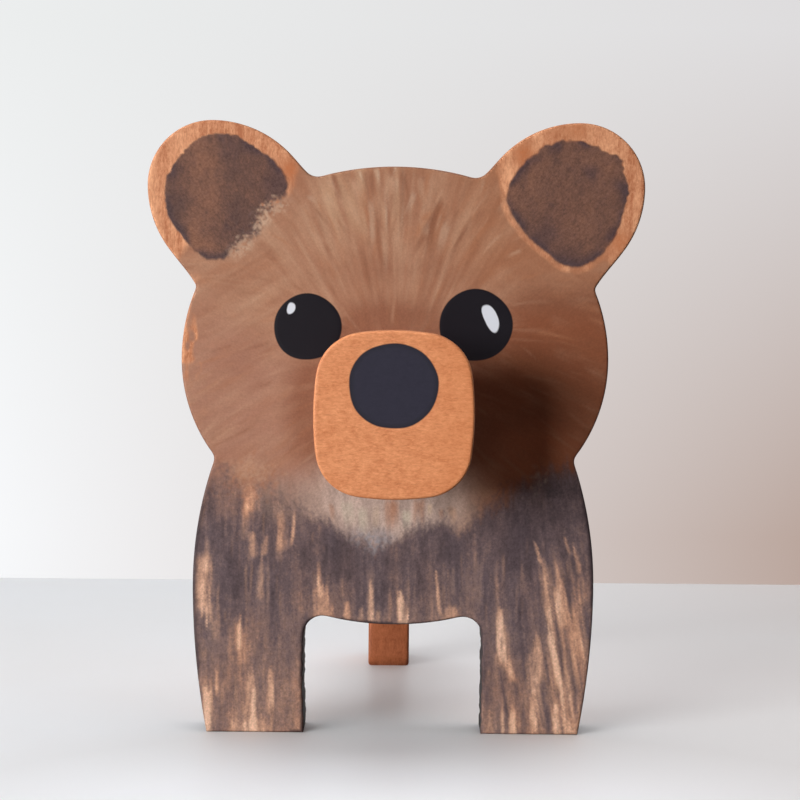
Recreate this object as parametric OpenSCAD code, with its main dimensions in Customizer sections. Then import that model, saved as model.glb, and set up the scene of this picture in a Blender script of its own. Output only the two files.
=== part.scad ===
/* [Stock] */
// Thickness of the boards that the stand is cut from
stock_t = 9.5; // [8:0.1:12]
// Largest gap left between a curve and the short straight edges that follow it
curve_gap = 0.008; // [0.005:0.001:0.05]

/* [Head] */
// Height of the crown of the head
crown_z = 111.3; // [109:0.1:113]
// Radius of the crown
crown_r = 55; // [48:1:65]
// Width across the cheeks
cheek_w = 83.4; // [81:0.1:86]
// Height at which the cheeks are widest
cheek_z = 73.6; // [71:0.1:76]
// Radius of a cheek above its widest point
cheek_upper_r = 36; // [33:0.5:40]
// Radius of a cheek below its widest point
cheek_lower_r = 31; // [28:0.5:34]
// Radius of the hollow where a cheek meets the shoulder
neck_hollow_r = 2; // [1:0.1:4]

/* [Ears] */
// Height of the ears, which is the height of the stand
ear_top_z = 120; // [118:0.1:123]
// Width across the ears
ear_span = 96.8; // [94:0.1:100]
// Radius of the round outer corner of an ear
ear_corner_r = 12.6; // [11:0.1:14]
// Radius of the flatter curve from the top of an ear towards the crown
ear_inner_r = 21.1; // [18:0.1:24]
// Radius of the flatter curve from the outermost point of an ear downwards
ear_outer_r = 20.5; // [17:0.1:24]
// Slope of the straight edge that joins an ear to the crown
ear_inner_slope = 47.6; // [44:0.1:52]
// Slope of the straight edge that joins an ear to the cheek
ear_outer_slope = 52.6; // [48:0.1:56]
// Radius of the hollow between an ear and the crown
crown_hollow_r = 3; // [1.5:0.1:5]
// Radius of the hollow between an ear and the cheek
ear_hollow_r = 1.3; // [0.8:0.1:3]

/* [Body and front legs] */
// Width across the body
body_w = 78.8; // [76:0.1:82]
// Height at which the body is widest
body_z = 29.2; // [26:0.1:32]
// Radius of a flank above its widest point
shoulder_r = 75; // [70:1:85]
// Radius of a flank below its widest point
flank_r = 155; // [130:1:200]
// Gap between the front legs
leg_gap = 35; // [30:0.5:40]
// Height of the lowest point of the belly
belly_z = 21.6; // [18:0.1:24]
// Radius of the belly
belly_r = 56; // [45:1:80]
// Radius of the two upper corners of the gap between the legs
arch_r = 3.7; // [2:0.1:6]

/* [Muzzle] */
// Width of the muzzle plate
muzzle_w = 29.3; // [26:0.1:34]
// Height of the muzzle plate
muzzle_h = 30.7; // [27:0.1:34]
// Height of the middle of the muzzle
muzzle_z = 64.5; // [62:0.1:68]
// Corner radius of the muzzle plate
muzzle_corner_r = 8.8; // [6:0.1:11]
// How far each side of the muzzle plate bulges beyond a straight line
muzzle_bulge = 0.4; // [0.2:0.1:1]
// Distance from the face of the board to the face of the muzzle plate
muzzle_reach = 28; // [24:0.5:34]
// Diameter of the neck that the bridge of the glasses rests on
neck_d = 20; // [16:0.5:24]
// Depth that the neck is let into the board and into the plate
neck_seat = 4; // [2:0.5:5]

/* [Rear leg] */
// Thickness of the rear leg
rear_leg_t = 9.5; // [8:0.1:12]
// Sideways place of the rear leg, where the middle of the board is 0
rear_leg_x = -1.1; // [-3:0.1:3]
// Distance from the face of the board to the back of the rump
rump_reach = 86; // [82:0.5:92]
// Radius of the rump
rump_r = 30; // [25:1:34]
// Distance from the face of the board to the front of the rear foot
rear_foot_y = 70; // [66:0.5:74]
// Height of the back
back_z = 57; // [54:0.5:60]
// Radius of the back
back_r = 100; // [80:1:120]
// Distance from the face of the board to the highest point of the back
back_y = 38; // [30:0.5:44]
// Height of the lowest point under the rear leg board
under_z = 22; // [20:0.5:24]
// Radius of the curve under the rear leg board
under_r = 120; // [90:1:160]
// Distance from the face of the board to the lowest point under the rear leg board
under_y = 35; // [28:0.5:40]
// Radius of the hollow in front of the rear foot
hock_r = 10; // [6:0.5:12]

/* [Fasteners] */
// Diameter of the muzzle screw
screw_d = 3.5; // [3:0.5:4]
// Length of the muzzle screw
screw_l = 30; // [25:1:35]
// Diameter of the head of the muzzle screw
screw_head_d = 7; // [6:0.5:8]
// Diameter of the leg dowels
dowel_d = 5; // [4:0.5:6]
// Length of the leg dowels
dowel_l = 20; // [16:1:24]
// Depth of the leg dowels in the front board
dowel_seat = 7; // [5:0.5:7.5]
// Heights of the lower and the upper leg dowel
dowel_z = [31, 45];

/* [Hidden] */
$fn = 64;

inner_leg_x = leg_gap / 2;
gap_front_y = -(muzzle_reach - stock_t);
neck_front_y = gap_front_y - neck_seat;
neck_l = neck_seat - neck_front_y;
screw_head_h = 2.2;
screw_rim_h = 0.4;
screw_tip_l = 4;
recess_w = 0.9;
recess_l = 3.8;
recess_h = 1.7;
dowel_chamfer = 0.6;
beyond = 1;

// Points of an arc about centre c from angle a0 to angle a1, both ends included
function arc(c, r, a0, a1) =
    let (step = 2 * acos(1 - curve_gap / r), n = max(2, ceil(abs(a1 - a0) / step)))
    [for (i = [0:n]) c + r * [cos(a0 + (a1 - a0) * i / n), sin(a0 + (a1 - a0) * i / n)]];

// Direction from point p to point q
function bearing(p, q) = atan2(q.y - p.y, q.x - p.x);

// Point at distance p from a and q from b, to the right of the way from a to b
function circles_meet(a, p, b, q) =
    let (d = norm(b - a), along = (d * d + p * p - q * q) / (2 * d),
         off = sqrt(p * p - along * along), u = (b - a) / d)
    a + along * u + off * [u.y, -u.x];

// Point at distance r from c on the line through p with the given slope, the upper one of the two
function line_meets(p, slope, c, r) =
    let (u = [cos(slope), sin(slope)], foot = p + ((c - p) * u) * u,
         half = sqrt(r * r - (c - foot) * (c - foot)))
    foot + half * u;

// Centres of the arcs of the front board, for its right half
belly_o = [0, belly_z + belly_r];
arch_o = [inner_leg_x - arch_r,
          belly_o.y - sqrt(pow(belly_r + arch_r, 2) - pow(inner_leg_x - arch_r, 2))];
flank_o = [body_w / 2 - flank_r, body_z];
shoulder_o = [body_w / 2 - shoulder_r, body_z];
lower_cheek_o = [cheek_w / 2 - cheek_lower_r, cheek_z];
upper_cheek_o = [cheek_w / 2 - cheek_upper_r, cheek_z];
neck_hollow_o = circles_meet(shoulder_o, shoulder_r + neck_hollow_r,
                             lower_cheek_o, cheek_lower_r + neck_hollow_r);
ear_corner_o = [ear_span / 2 - ear_corner_r, ear_top_z - ear_corner_r];
ear_outer_o = [ear_span / 2 - ear_outer_r, ear_corner_o.y];
ear_inner_o = [ear_corner_o.x, ear_top_z - ear_inner_r];
crown_o = [0, crown_z - crown_r];

// The ear's straight edges touch its arcs at these angles and are offset by the hollows' radii
ear_outer_a = ear_outer_slope - 90;
ear_inner_a = ear_inner_slope + 90;
ear_hollow_o = line_meets(
    ear_outer_o + (ear_outer_r + ear_hollow_r) * [cos(ear_outer_a), sin(ear_outer_a)],
    ear_outer_slope, upper_cheek_o, cheek_upper_r + ear_hollow_r);
crown_hollow_o = line_meets(
    ear_inner_o + (ear_inner_r + crown_hollow_r) * [cos(ear_inner_a), sin(ear_inner_a)],
    ear_inner_slope, crown_o, crown_r + crown_hollow_r);

right_half = concat(
    arc(belly_o, belly_r, -90, bearing(belly_o, arch_o)),
    arc(arch_o, arch_r, bearing(arch_o, belly_o), 0),
    [[inner_leg_x, 0]],
    arc(flank_o, flank_r, -asin(body_z / flank_r), 0),
    arc(shoulder_o, shoulder_r, 0, bearing(shoulder_o, neck_hollow_o)),
    arc(neck_hollow_o, neck_hollow_r, bearing(neck_hollow_o, shoulder_o) + 360,
        bearing(neck_hollow_o, lower_cheek_o)),
    arc(lower_cheek_o, cheek_lower_r, bearing(lower_cheek_o, neck_hollow_o), 0),
    arc(upper_cheek_o, cheek_upper_r, 0, bearing(upper_cheek_o, ear_hollow_o)),
    arc(ear_hollow_o, ear_hollow_r, bearing(ear_hollow_o, upper_cheek_o) + 360, ear_outer_a + 180),
    arc(ear_outer_o, ear_outer_r, ear_outer_a, 0),
    arc(ear_corner_o, ear_corner_r, 0, 90),
    arc(ear_inner_o, ear_inner_r, 90, ear_inner_a),
    arc(crown_hollow_o, crown_hollow_r, ear_inner_a + 180, bearing(crown_hollow_o, crown_o) + 360),
    arc(crown_o, crown_r, bearing(crown_o, crown_hollow_o), 90));
last = len(right_half) - 1;
left_half = [for (i = [last - 1:-1:1]) [-right_half[i].x, right_half[i].y]];

// The muzzle plate: a quarter of its outline, which is then mirrored twice
corner_o = [muzzle_w / 2 - muzzle_corner_r - muzzle_bulge,
            muzzle_h / 2 - muzzle_corner_r - muzzle_bulge];
function side_r(half) =
    muzzle_corner_r + (half * half + muzzle_bulge * muzzle_bulge) / (2 * muzzle_bulge);
side_o = [muzzle_w / 2 - side_r(corner_o.y), 0];
top_o = [0, muzzle_h / 2 - side_r(corner_o.x)];
quarter = concat(
    arc(side_o, side_r(corner_o.y), 0, bearing(side_o, corner_o)),
    arc(corner_o, muzzle_corner_r, bearing(side_o, corner_o), bearing(top_o, corner_o)),
    arc(top_o, side_r(corner_o.x), bearing(top_o, corner_o), 90));
upper = concat(quarter, [for (i = [len(quarter) - 2:-1:0]) [-quarter[i].x, quarter[i].y]]);
muzzle_outline = concat(upper, [for (i = [len(upper) - 2:-1:1]) [upper[i].x, -upper[i].y]]);

// Centres of the arcs of the rear leg, as distance behind the face of the board and height
under_o = [under_y, under_z + under_r];
hock_o = [rear_foot_y - hock_r,
          under_o.y - sqrt(pow(under_r + hock_r, 2) - pow(rear_foot_y - hock_r - under_y, 2))];
back_o = [back_y, back_z - back_r];
rump_o = [rump_reach - rump_r,
          back_o.y + sqrt(pow(back_r - rump_r, 2) - pow(rump_reach - rump_r - back_y, 2))];
thigh_o = [rump_reach - flank_r, rump_o.y];
leg_outline = concat(
    arc(under_o, under_r, -90 - asin((under_y - stock_t) / under_r), bearing(under_o, hock_o)),
    arc(hock_o, hock_r, bearing(hock_o, under_o), 0),
    [[rear_foot_y, 0]],
    arc(thigh_o, flank_r, -asin(rump_o.y / flank_r), 0),
    arc(rump_o, rump_r, 0, bearing(back_o, rump_o)),
    arc(back_o, back_r, bearing(back_o, rump_o), 90 + asin((back_y - stock_t) / back_r)));

// Everything is drawn with the face of the board at y = 0, then moved so that the origin is on
// the table below the middle of the stand
module place() { translate([0, (muzzle_reach - rump_reach) / 2, 0]) children(); }

// Turns the children's z axis to point backwards, starting y behind the face of the board
module backwards(x, y, z) { translate([x, y, z]) rotate([-90, 0, 0]) children(); }

// A plate of the stock with its outline seen from the front and its face y behind the board's
module upright(y) { translate([0, y + stock_t, 0]) rotate([90, 0, 0]) linear_extrude(stock_t) children(); }

module screw_shape() {
    rotate_extrude() polygon([
        [0, 0], [screw_head_d / 2, 0], [screw_head_d / 2, -screw_rim_h],
        [screw_d / 2, -screw_head_h], [screw_d / 2, screw_tip_l - screw_l], [0, -screw_l]]);
}

module dowel_shape() {
    rotate_extrude() polygon([
        [0, 0], [dowel_d / 2 - dowel_chamfer, 0], [dowel_d / 2, dowel_chamfer],
        [dowel_d / 2, dowel_l - dowel_chamfer], [dowel_d / 2 - dowel_chamfer, dowel_l], [0, dowel_l]]);
}

// The blind holes for the two leg dowels
module dowel_holes() {
    for (z = dowel_z)
        backwards(rear_leg_x, stock_t - dowel_seat, z) cylinder(d = dowel_d, h = dowel_l);
}

module front_board() {
    color("saddlebrown") place() difference() {
        upright(0) polygon(concat(right_half, left_half));
        backwards(0, -beyond, muzzle_z) cylinder(d = neck_d, h = neck_seat + beyond);
        backwards(0, stock_t, muzzle_z) screw_shape();
        dowel_holes();
    }
}

module muzzle_plate() {
    color("peru") place() difference() {
        upright(-muzzle_reach) translate([0, muzzle_z]) polygon(muzzle_outline);
        backwards(0, neck_front_y, muzzle_z) cylinder(d = neck_d, h = neck_seat + beyond);
    }
}

module muzzle_neck() {
    color("sienna") place() difference() {
        backwards(0, neck_front_y, muzzle_z) cylinder(d = neck_d, h = neck_l);
        backwards(0, neck_front_y - beyond, muzzle_z) cylinder(d = screw_d, h = neck_l + 2 * beyond);
    }
}

module muzzle_screw() {
    color("silver") place() backwards(0, stock_t, muzzle_z) difference() {
        screw_shape();
        for (turn = [0, 90])
            rotate([0, 0, turn]) translate([-recess_l / 2, -recess_w / 2, -recess_h])
                cube([recess_l, recess_w, recess_h + beyond]);
    }
}

module rear_leg() {
    color("chocolate") place() difference() {
        translate([rear_leg_x - rear_leg_t / 2, 0, 0]) rotate([90, 0, 90])
            linear_extrude(rear_leg_t) polygon(leg_outline);
        dowel_holes();
    }
}

module leg_dowel(z) {
    color("burlywood") place() backwards(rear_leg_x, stock_t - dowel_seat, z) dowel_shape();
}

module upper_leg_dowel() { leg_dowel(dowel_z[1]); }

module lower_leg_dowel() { leg_dowel(dowel_z[0]); }

front_board();
muzzle_plate();
muzzle_neck();
muzzle_screw();
rear_leg();
upper_leg_dowel();
lower_leg_dowel();
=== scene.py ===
import math

import bmesh
import bpy
import numpy as np
from mathutils import Matrix, Vector
from mathutils.geometry import delaunay_2d_cdt
from mathutils.kdtree import KDTree


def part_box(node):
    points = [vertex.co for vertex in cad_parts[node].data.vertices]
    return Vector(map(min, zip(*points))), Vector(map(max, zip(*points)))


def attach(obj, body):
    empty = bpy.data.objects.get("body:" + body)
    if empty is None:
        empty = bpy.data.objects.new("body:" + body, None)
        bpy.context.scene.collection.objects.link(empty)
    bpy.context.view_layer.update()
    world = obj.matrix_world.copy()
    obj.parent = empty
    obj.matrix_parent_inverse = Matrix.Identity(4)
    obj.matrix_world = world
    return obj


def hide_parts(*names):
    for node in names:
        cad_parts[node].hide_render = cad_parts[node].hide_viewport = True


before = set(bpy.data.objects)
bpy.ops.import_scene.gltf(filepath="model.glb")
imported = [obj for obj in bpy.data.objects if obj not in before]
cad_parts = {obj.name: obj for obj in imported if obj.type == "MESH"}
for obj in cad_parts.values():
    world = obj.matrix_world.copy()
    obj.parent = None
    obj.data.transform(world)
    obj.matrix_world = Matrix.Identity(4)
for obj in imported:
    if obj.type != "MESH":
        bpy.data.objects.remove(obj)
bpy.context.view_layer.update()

# The looks of an eyeglasses display stand: a painted board cut as a bear, with a muzzle plate on a
# short neck in front of it and a rear leg behind it. Lengths are millimetres until a mesh is made.

MM = 0.001

# Rounded arrises: radii of the board's, the muzzle plate's, the neck's and the rear leg's, the steps
# round one, and the flat band beside it
ARRIS = 0.45
PLATE_ARRIS = 0.5
NECK_ARRIS = 0.5
LEG_ARRIS = 0.7
ARRIS_STEPS = 4
SUPPORT = 0.35

# Spacing of the meshes' points along an outline, across a side, and on faces from fine to coarse
OUTLINE_STEP = 0.5
LEG_OUTLINE_STEP = 0.8
LEG_CORNER_GAP = 2.4
SIDE_STEP = 0.9
PAINTED_STEP = 0.36
PLATE_STEP = 0.5
PLAIN_STEP = 1.2
BACK_STEP = 2.0

# The muzzle's screw: radius of its shank, depth of its head, height of the head's rim
SCREW_R = 1.75
SCREW_HEAD = 2.2
SCREW_RIM = 0.4

LEG_DOWELS = ("upper_leg_dowel", "lower_leg_dowel")

# Points round the turned pieces, the muzzle's seats, the dowels' holes in the board and in the leg,
# and the screw
TURNED_SIDES = 96
SEAT_SIDES = 64
HOLE_SIDES = 32
BIT_SIDES = 40
SCREW_SIDES = 48

# Seeds of the random draws
PAINT_SEED = 7
SAW_SEED = 11
TURNING_SEED = 23

# Paint: dots per mm of the canvas, the margin of the canvas round the board, the greatest thickness,
# and the value of a distance that is to be out of reach
DOTS = 5
CANVAS_MARGIN = 1
PAINT_DEPTH = 0.12
FAR = 9.0


# ---------------------------------------------------------------- outlines and solids

def flat_face_loops(node, axis):
    """Outlines, in mm, of the lowest flat face across an axis of a CAD node, the largest first."""
    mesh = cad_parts[node].data
    co = np.zeros(len(mesh.vertices) * 3)
    mesh.vertices.foreach_get("co", co)
    co = co.reshape(-1, 3) / MM
    level = co[:, axis].min()
    keys, merged = np.unique(np.round(co, 3), axis=0, return_inverse=True)
    merged = merged.reshape(-1)
    edges = set()
    for face in mesh.polygons:
        corners = list(face.vertices)
        if max(abs(co[i][axis] - level) for i in corners) < 0.001:
            ids = [int(merged[i]) for i in corners]
            edges.update((a, b) for a, b in zip(ids, ids[1:] + ids[:1]) if a != b)
    following = {a: b for a, b in edges if (b, a) not in edges}
    across = [i for i in range(3) if i != axis]
    loops = []
    while following:
        start, at = following.popitem()
        loop = [start]
        while at != start:
            loop.append(at)
            at = following.pop(at)
        points = keys[loop][:, across]
        if area(points) < 0:
            points = points[::-1]
        loops.append(points)
    return sorted(loops, key=lambda points: -area(points))


def area(points):
    """Signed area of a closed outline, positive when it runs anticlockwise."""
    after = np.roll(points, -1, axis=0)
    return float(np.sum(points[:, 0] * after[:, 1] - points[:, 1] * after[:, 0]) / 2)


def corner_places(loop, degrees=35):
    """Indices of the outline's points where it turns sharply."""
    ahead = np.roll(loop, -1, axis=0) - loop
    behind = loop - np.roll(loop, 1, axis=0)
    turn = np.arctan2(behind[:, 0] * ahead[:, 1] - behind[:, 1] * ahead[:, 0],
                      np.sum(behind * ahead, axis=1))
    return [int(i) for i in np.nonzero(np.abs(turn) > math.radians(degrees))[0]]


def smooth_stretch(points, step, corner_gap=0.0, parts=8):
    """Even points along a smooth curve through the given points, without the last one.
    The first and last of the steps are corner_gap long, where that is given."""
    gaps = np.linalg.norm(np.diff(points, axis=0), axis=1)
    slopes = np.diff(points, axis=0) / gaps[:, None]
    tangents = np.empty_like(points)
    tangents[0], tangents[-1] = slopes[0], slopes[-1]
    share = (gaps[1:] / (gaps[1:] + gaps[:-1]))[:, None]
    tangents[1:-1] = slopes[:-1] * share + slopes[1:] * (1 - share)
    t = np.linspace(0, 1, parts, endpoint=False)[:, None, None]
    width = gaps[None, :, None]
    curve = ((2 * t ** 3 - 3 * t ** 2 + 1) * points[None, :-1]
             + (t ** 3 - 2 * t ** 2 + t) * width * tangents[None, :-1]
             + (3 * t ** 2 - 2 * t ** 3) * points[None, 1:]
             + (t ** 3 - t ** 2) * width * tangents[None, 1:])
    dense = np.vstack([curve.transpose(1, 0, 2).reshape(-1, 2), points[-1:]])
    along = np.concatenate([[0], np.cumsum(np.linalg.norm(np.diff(dense, axis=0), axis=1))])
    count = max(1, round((along[-1] - 2 * corner_gap) / step))
    at = np.linspace(corner_gap, along[-1] - corner_gap, count + 1)
    at = np.concatenate([[0], at]) if corner_gap else at[:-1]
    return np.column_stack([np.interp(at, along, dense[:, k]) for k in (0, 1)])


def resample(loop, step, corner_gap=1.4):
    """The outline with evenly spaced points and its sharp corners kept."""
    corners = corner_places(loop)
    if not corners:
        wrap = 6
        closed = np.vstack([loop[-wrap:], loop, loop[:wrap + 1]])
        stretch = smooth_stretch(closed, step / 4)
        start = int(np.argmin(np.linalg.norm(stretch - loop[0], axis=1)))
        lap = np.sum(np.linalg.norm(np.roll(loop, -1, axis=0) - loop, axis=1))
        count = round(lap / step)
        picks = start + np.round(np.arange(count) * lap / count / (step / 4)).astype(int)
        return stretch[picks]
    loop = np.roll(loop, -corners[0], axis=0)
    marks = [c - corners[0] for c in corners] + [len(loop)]
    closed = np.vstack([loop, loop[:1]])
    return np.vstack([smooth_stretch(closed[a:b + 1], step, corner_gap) for a, b in zip(marks, marks[1:])])


def inset(loop, distance):
    """The outline moved inwards by a distance, with mitred corners."""
    ahead = np.roll(loop, -1, axis=0) - loop
    ahead /= np.linalg.norm(ahead, axis=1)[:, None]
    behind = np.roll(ahead, 1, axis=0)
    inward_ahead = np.column_stack([-ahead[:, 1], ahead[:, 0]])
    inward_behind = np.column_stack([-behind[:, 1], behind[:, 0]])
    middle = inward_ahead + inward_behind
    middle /= np.linalg.norm(middle, axis=1)[:, None]
    reach = np.maximum(np.sum(middle * inward_ahead, axis=1), 0.4)
    return loop + middle * (distance / reach)[:, None]


def circle(x, z, radius, count):
    turn = np.arange(count) * 2 * math.pi / count
    return np.column_stack([x + radius * np.cos(turn), z + radius * np.sin(turn)])


def inside_grid(loop, spacing, margin):
    """Points of a triangular grid inside the outline, at least a margin from it."""
    shrunk = inset(loop, margin)
    after = np.roll(shrunk, -1, axis=0)
    rows = []
    low, high = shrunk.min(0), shrunk.max(0)
    for k, v in enumerate(np.arange(low[1], high[1], spacing * math.sqrt(0.75))):
        crosses = (shrunk[:, 1] > v) != (after[:, 1] > v)
        a, b = shrunk[crosses], after[crosses]
        ends = np.sort(a[:, 0] + (v - a[:, 1]) / (b[:, 1] - a[:, 1]) * (b[:, 0] - a[:, 0]))
        u = np.arange(low[0] + (k % 2) * spacing / 2, high[0], spacing)
        u = u[np.searchsorted(ends, u) % 2 == 1]
        rows.append(np.column_stack([u, np.full(len(u), v)]))
    return np.vstack(rows)


def inside(loop, points, chunk=4000):
    """Which of the points lie inside the outline."""
    after = np.roll(loop, -1, axis=0)
    slope = (after[:, 0] - loop[:, 0]) / np.where(after[:, 1] == loop[:, 1], 1, after[:, 1] - loop[:, 1])
    found = []
    for part in np.array_split(points, len(points) // chunk + 1):
        u, v = part[:, :1], part[:, 1:]
        between = (loop[:, 1] > v) != (after[:, 1] > v)
        found.append(np.sum(between & (u < loop[:, 0] + (v - loop[:, 1]) * slope), axis=1) % 2 == 1)
    return np.concatenate(found)


def closed_edges(start, count):
    """Edges round a ring of points whose indices begin at start."""
    return [(start + i, start + (i + 1) % count) for i in range(count)]


def triangulate(flat, edges, rim):
    """Triangles over points that keep the edges. The first rim points are the outer outline."""
    triangles = np.array(delaunay_2d_cdt([Vector(p) for p in flat], edges, [], 0, 1e-6, False)[2])
    return triangles[inside(flat[:rim], flat[triangles].mean(axis=1))]


class Solid:
    """Collects points and faces. A point is (u, v) in the outline's plane and w across it."""

    def __init__(self, axis):
        self.axis = axis
        self.points, self.faces, self.count = [], [], 0

    def add(self, flat, w):
        """Adds points at the depth w and gives their indices."""
        flat = np.asarray(flat, float)
        order = np.empty((len(flat), 3))
        order[:, self.axis] = w
        order[:, [i for i in range(3) if i != self.axis]] = flat
        self.points.append(order)
        self.count += len(flat)
        return np.arange(self.count - len(flat), self.count)

    def bridge(self, a, b):
        """Quads between two rings of as many points."""
        a_next, b_next = np.roll(a, -1), np.roll(b, -1)
        self.faces.extend(zip(a.tolist(), a_next.tolist(), b_next.tolist(), b.tolist()))

    def tube(self, rings):
        for a, b in zip(rings, rings[1:]):
            self.bridge(a, b)

    def disc(self, ring, centre, w):
        """Closes a small ring with a fan of triangles."""
        tip = int(self.add([centre], w)[0])
        self.faces.extend((a, b, tip) for a, b in zip(ring.tolist(), np.roll(ring, -1).tolist()))

    def fill(self, outer, holes, w, spacing):
        """Triangles between an outer ring and the rings of round holes, given as (ring, centre, radius)."""
        every = np.vstack(self.points)
        across = [i for i in range(3) if i != self.axis]
        rings = [outer] + [hole[0] for hole in holes]
        flat = [every[ring][:, across] for ring in rings]
        grid = inside_grid(flat[0], spacing, spacing * 0.6)
        for _, centre, radius in holes:
            grid = grid[np.linalg.norm(grid - centre, axis=1) > radius + spacing * 0.6]
        ids = np.concatenate(rings + [self.add(grid, w)])
        flat = np.vstack(flat + [grid])
        edges, start = [], 0
        for ring in rings:
            edges += closed_edges(start, len(ring))
            start += len(ring)
        triangles = triangulate(flat, edges, len(outer))
        middle = flat[triangles].mean(axis=1)
        for _, centre, radius in holes:
            keep = np.linalg.norm(middle - centre, axis=1) > radius * 0.98
            triangles, middle = triangles[keep], middle[keep]
        self.faces.extend(map(tuple, ids[triangles].tolist()))

    def array(self):
        return np.vstack(self.points)


def arris_profile(low, high, radius, row):
    """(inset, depth) of each ring from one face of a plate to the other, with both arrises rounded."""
    quarter = [math.pi / 2 * k / ARRIS_STEPS for k in range(ARRIS_STEPS + 1)]
    first = [(radius + SUPPORT, low)]
    first += [(radius * (1 - math.sin(a)), low + radius * (1 - math.cos(a))) for a in quarter]
    middle = np.linspace(low + radius, high - radius, max(3, round((high - low) / row)))[1:-1]
    last = [(i, low + high - w) for i, w in reversed(first)]
    return first + [(0, w) for w in middle] + last


def make_object(name, solid):
    """A Blender object from a Solid, its points in metres."""
    mesh = bpy.data.meshes.new(name)
    mesh.from_pydata((solid.array() * MM).tolist(), [], solid.faces)
    work = bmesh.new()
    work.from_mesh(mesh)
    bmesh.ops.recalc_face_normals(work, faces=work.faces)
    work.to_mesh(mesh)
    work.free()
    mesh.shade_smooth()
    mesh.validate()
    return show(name, mesh)


def show(name, data):
    """A new object in the scene that holds a mesh, a lamp or a camera."""
    made = bpy.data.objects.new(name, data)
    bpy.context.scene.collection.objects.link(made)
    return made


def stand_for(piece, node):
    """The piece takes the place of a CAD node."""
    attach(piece, "root")
    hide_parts(node)


def mm_box(node):
    low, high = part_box(node)
    return np.array(low) / MM, np.array(high) / MM


def round_box(node):
    """Low and high corner of a round node that lies along y, its centre in x and z, its radius."""
    low, high = mm_box(node)
    return low, high, (low + high)[[0, 2]] / 2, (high[0] - low[0]) / 2


board_low, board_high = mm_box("front_board")
plate_low, plate_high, MUZZLE, _ = round_box("muzzle_plate")
neck_low, neck_high, _, NECK_R = round_box("muzzle_neck")


# ---------------------------------------------------------------- paint

def linear(r, g, b):
    """A colour given as on a screen, from 0 to 255, as linear light."""
    return np.array([(c / 255 / 12.92) if c <= 10 else ((c / 255 + 0.055) / 1.055) ** 2.4
                     for c in (r, g, b)])


def smooth(share):
    """A soft step from 0 to 1."""
    share = np.clip(share, 0, 1)
    return share * share * (3 - 2 * share)


def toward(base, colour, amount):
    """The base colour moved towards another one, by an amount for each point."""
    return base + (colour - base) * amount[..., None]


def cloud(u, v, x, z, spread):
    """A round soft spot: 1 at its middle, and 1/e where the squared distance is the spread."""
    return np.exp(-((u - x) ** 2 + (v - z) ** 2) / spread)


def soft_noise(rng, u, v, scale_u, scale_v):
    """Smooth random values from 0 to 1 over a grid of points."""
    size = 256
    table = rng.random((size, size))
    x, y = (u / scale_u) % size, (v / scale_v) % size
    i, j = x.astype(int) % size, y.astype(int) % size
    s, t = smooth(x - i), smooth(y - j)
    i1, j1 = (i + 1) % size, (j + 1) % size
    return ((table[j, i] * (1 - s) + table[j, i1] * s) * (1 - t)
            + (table[j1, i] * (1 - s) + table[j1, i1] * s) * t)


def layered_noise(rng, a, b, scales):
    """Mean of soft noises of several scales."""
    return sum(soft_noise(rng, a, b, *scale) for scale in scales) / len(scales)


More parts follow.
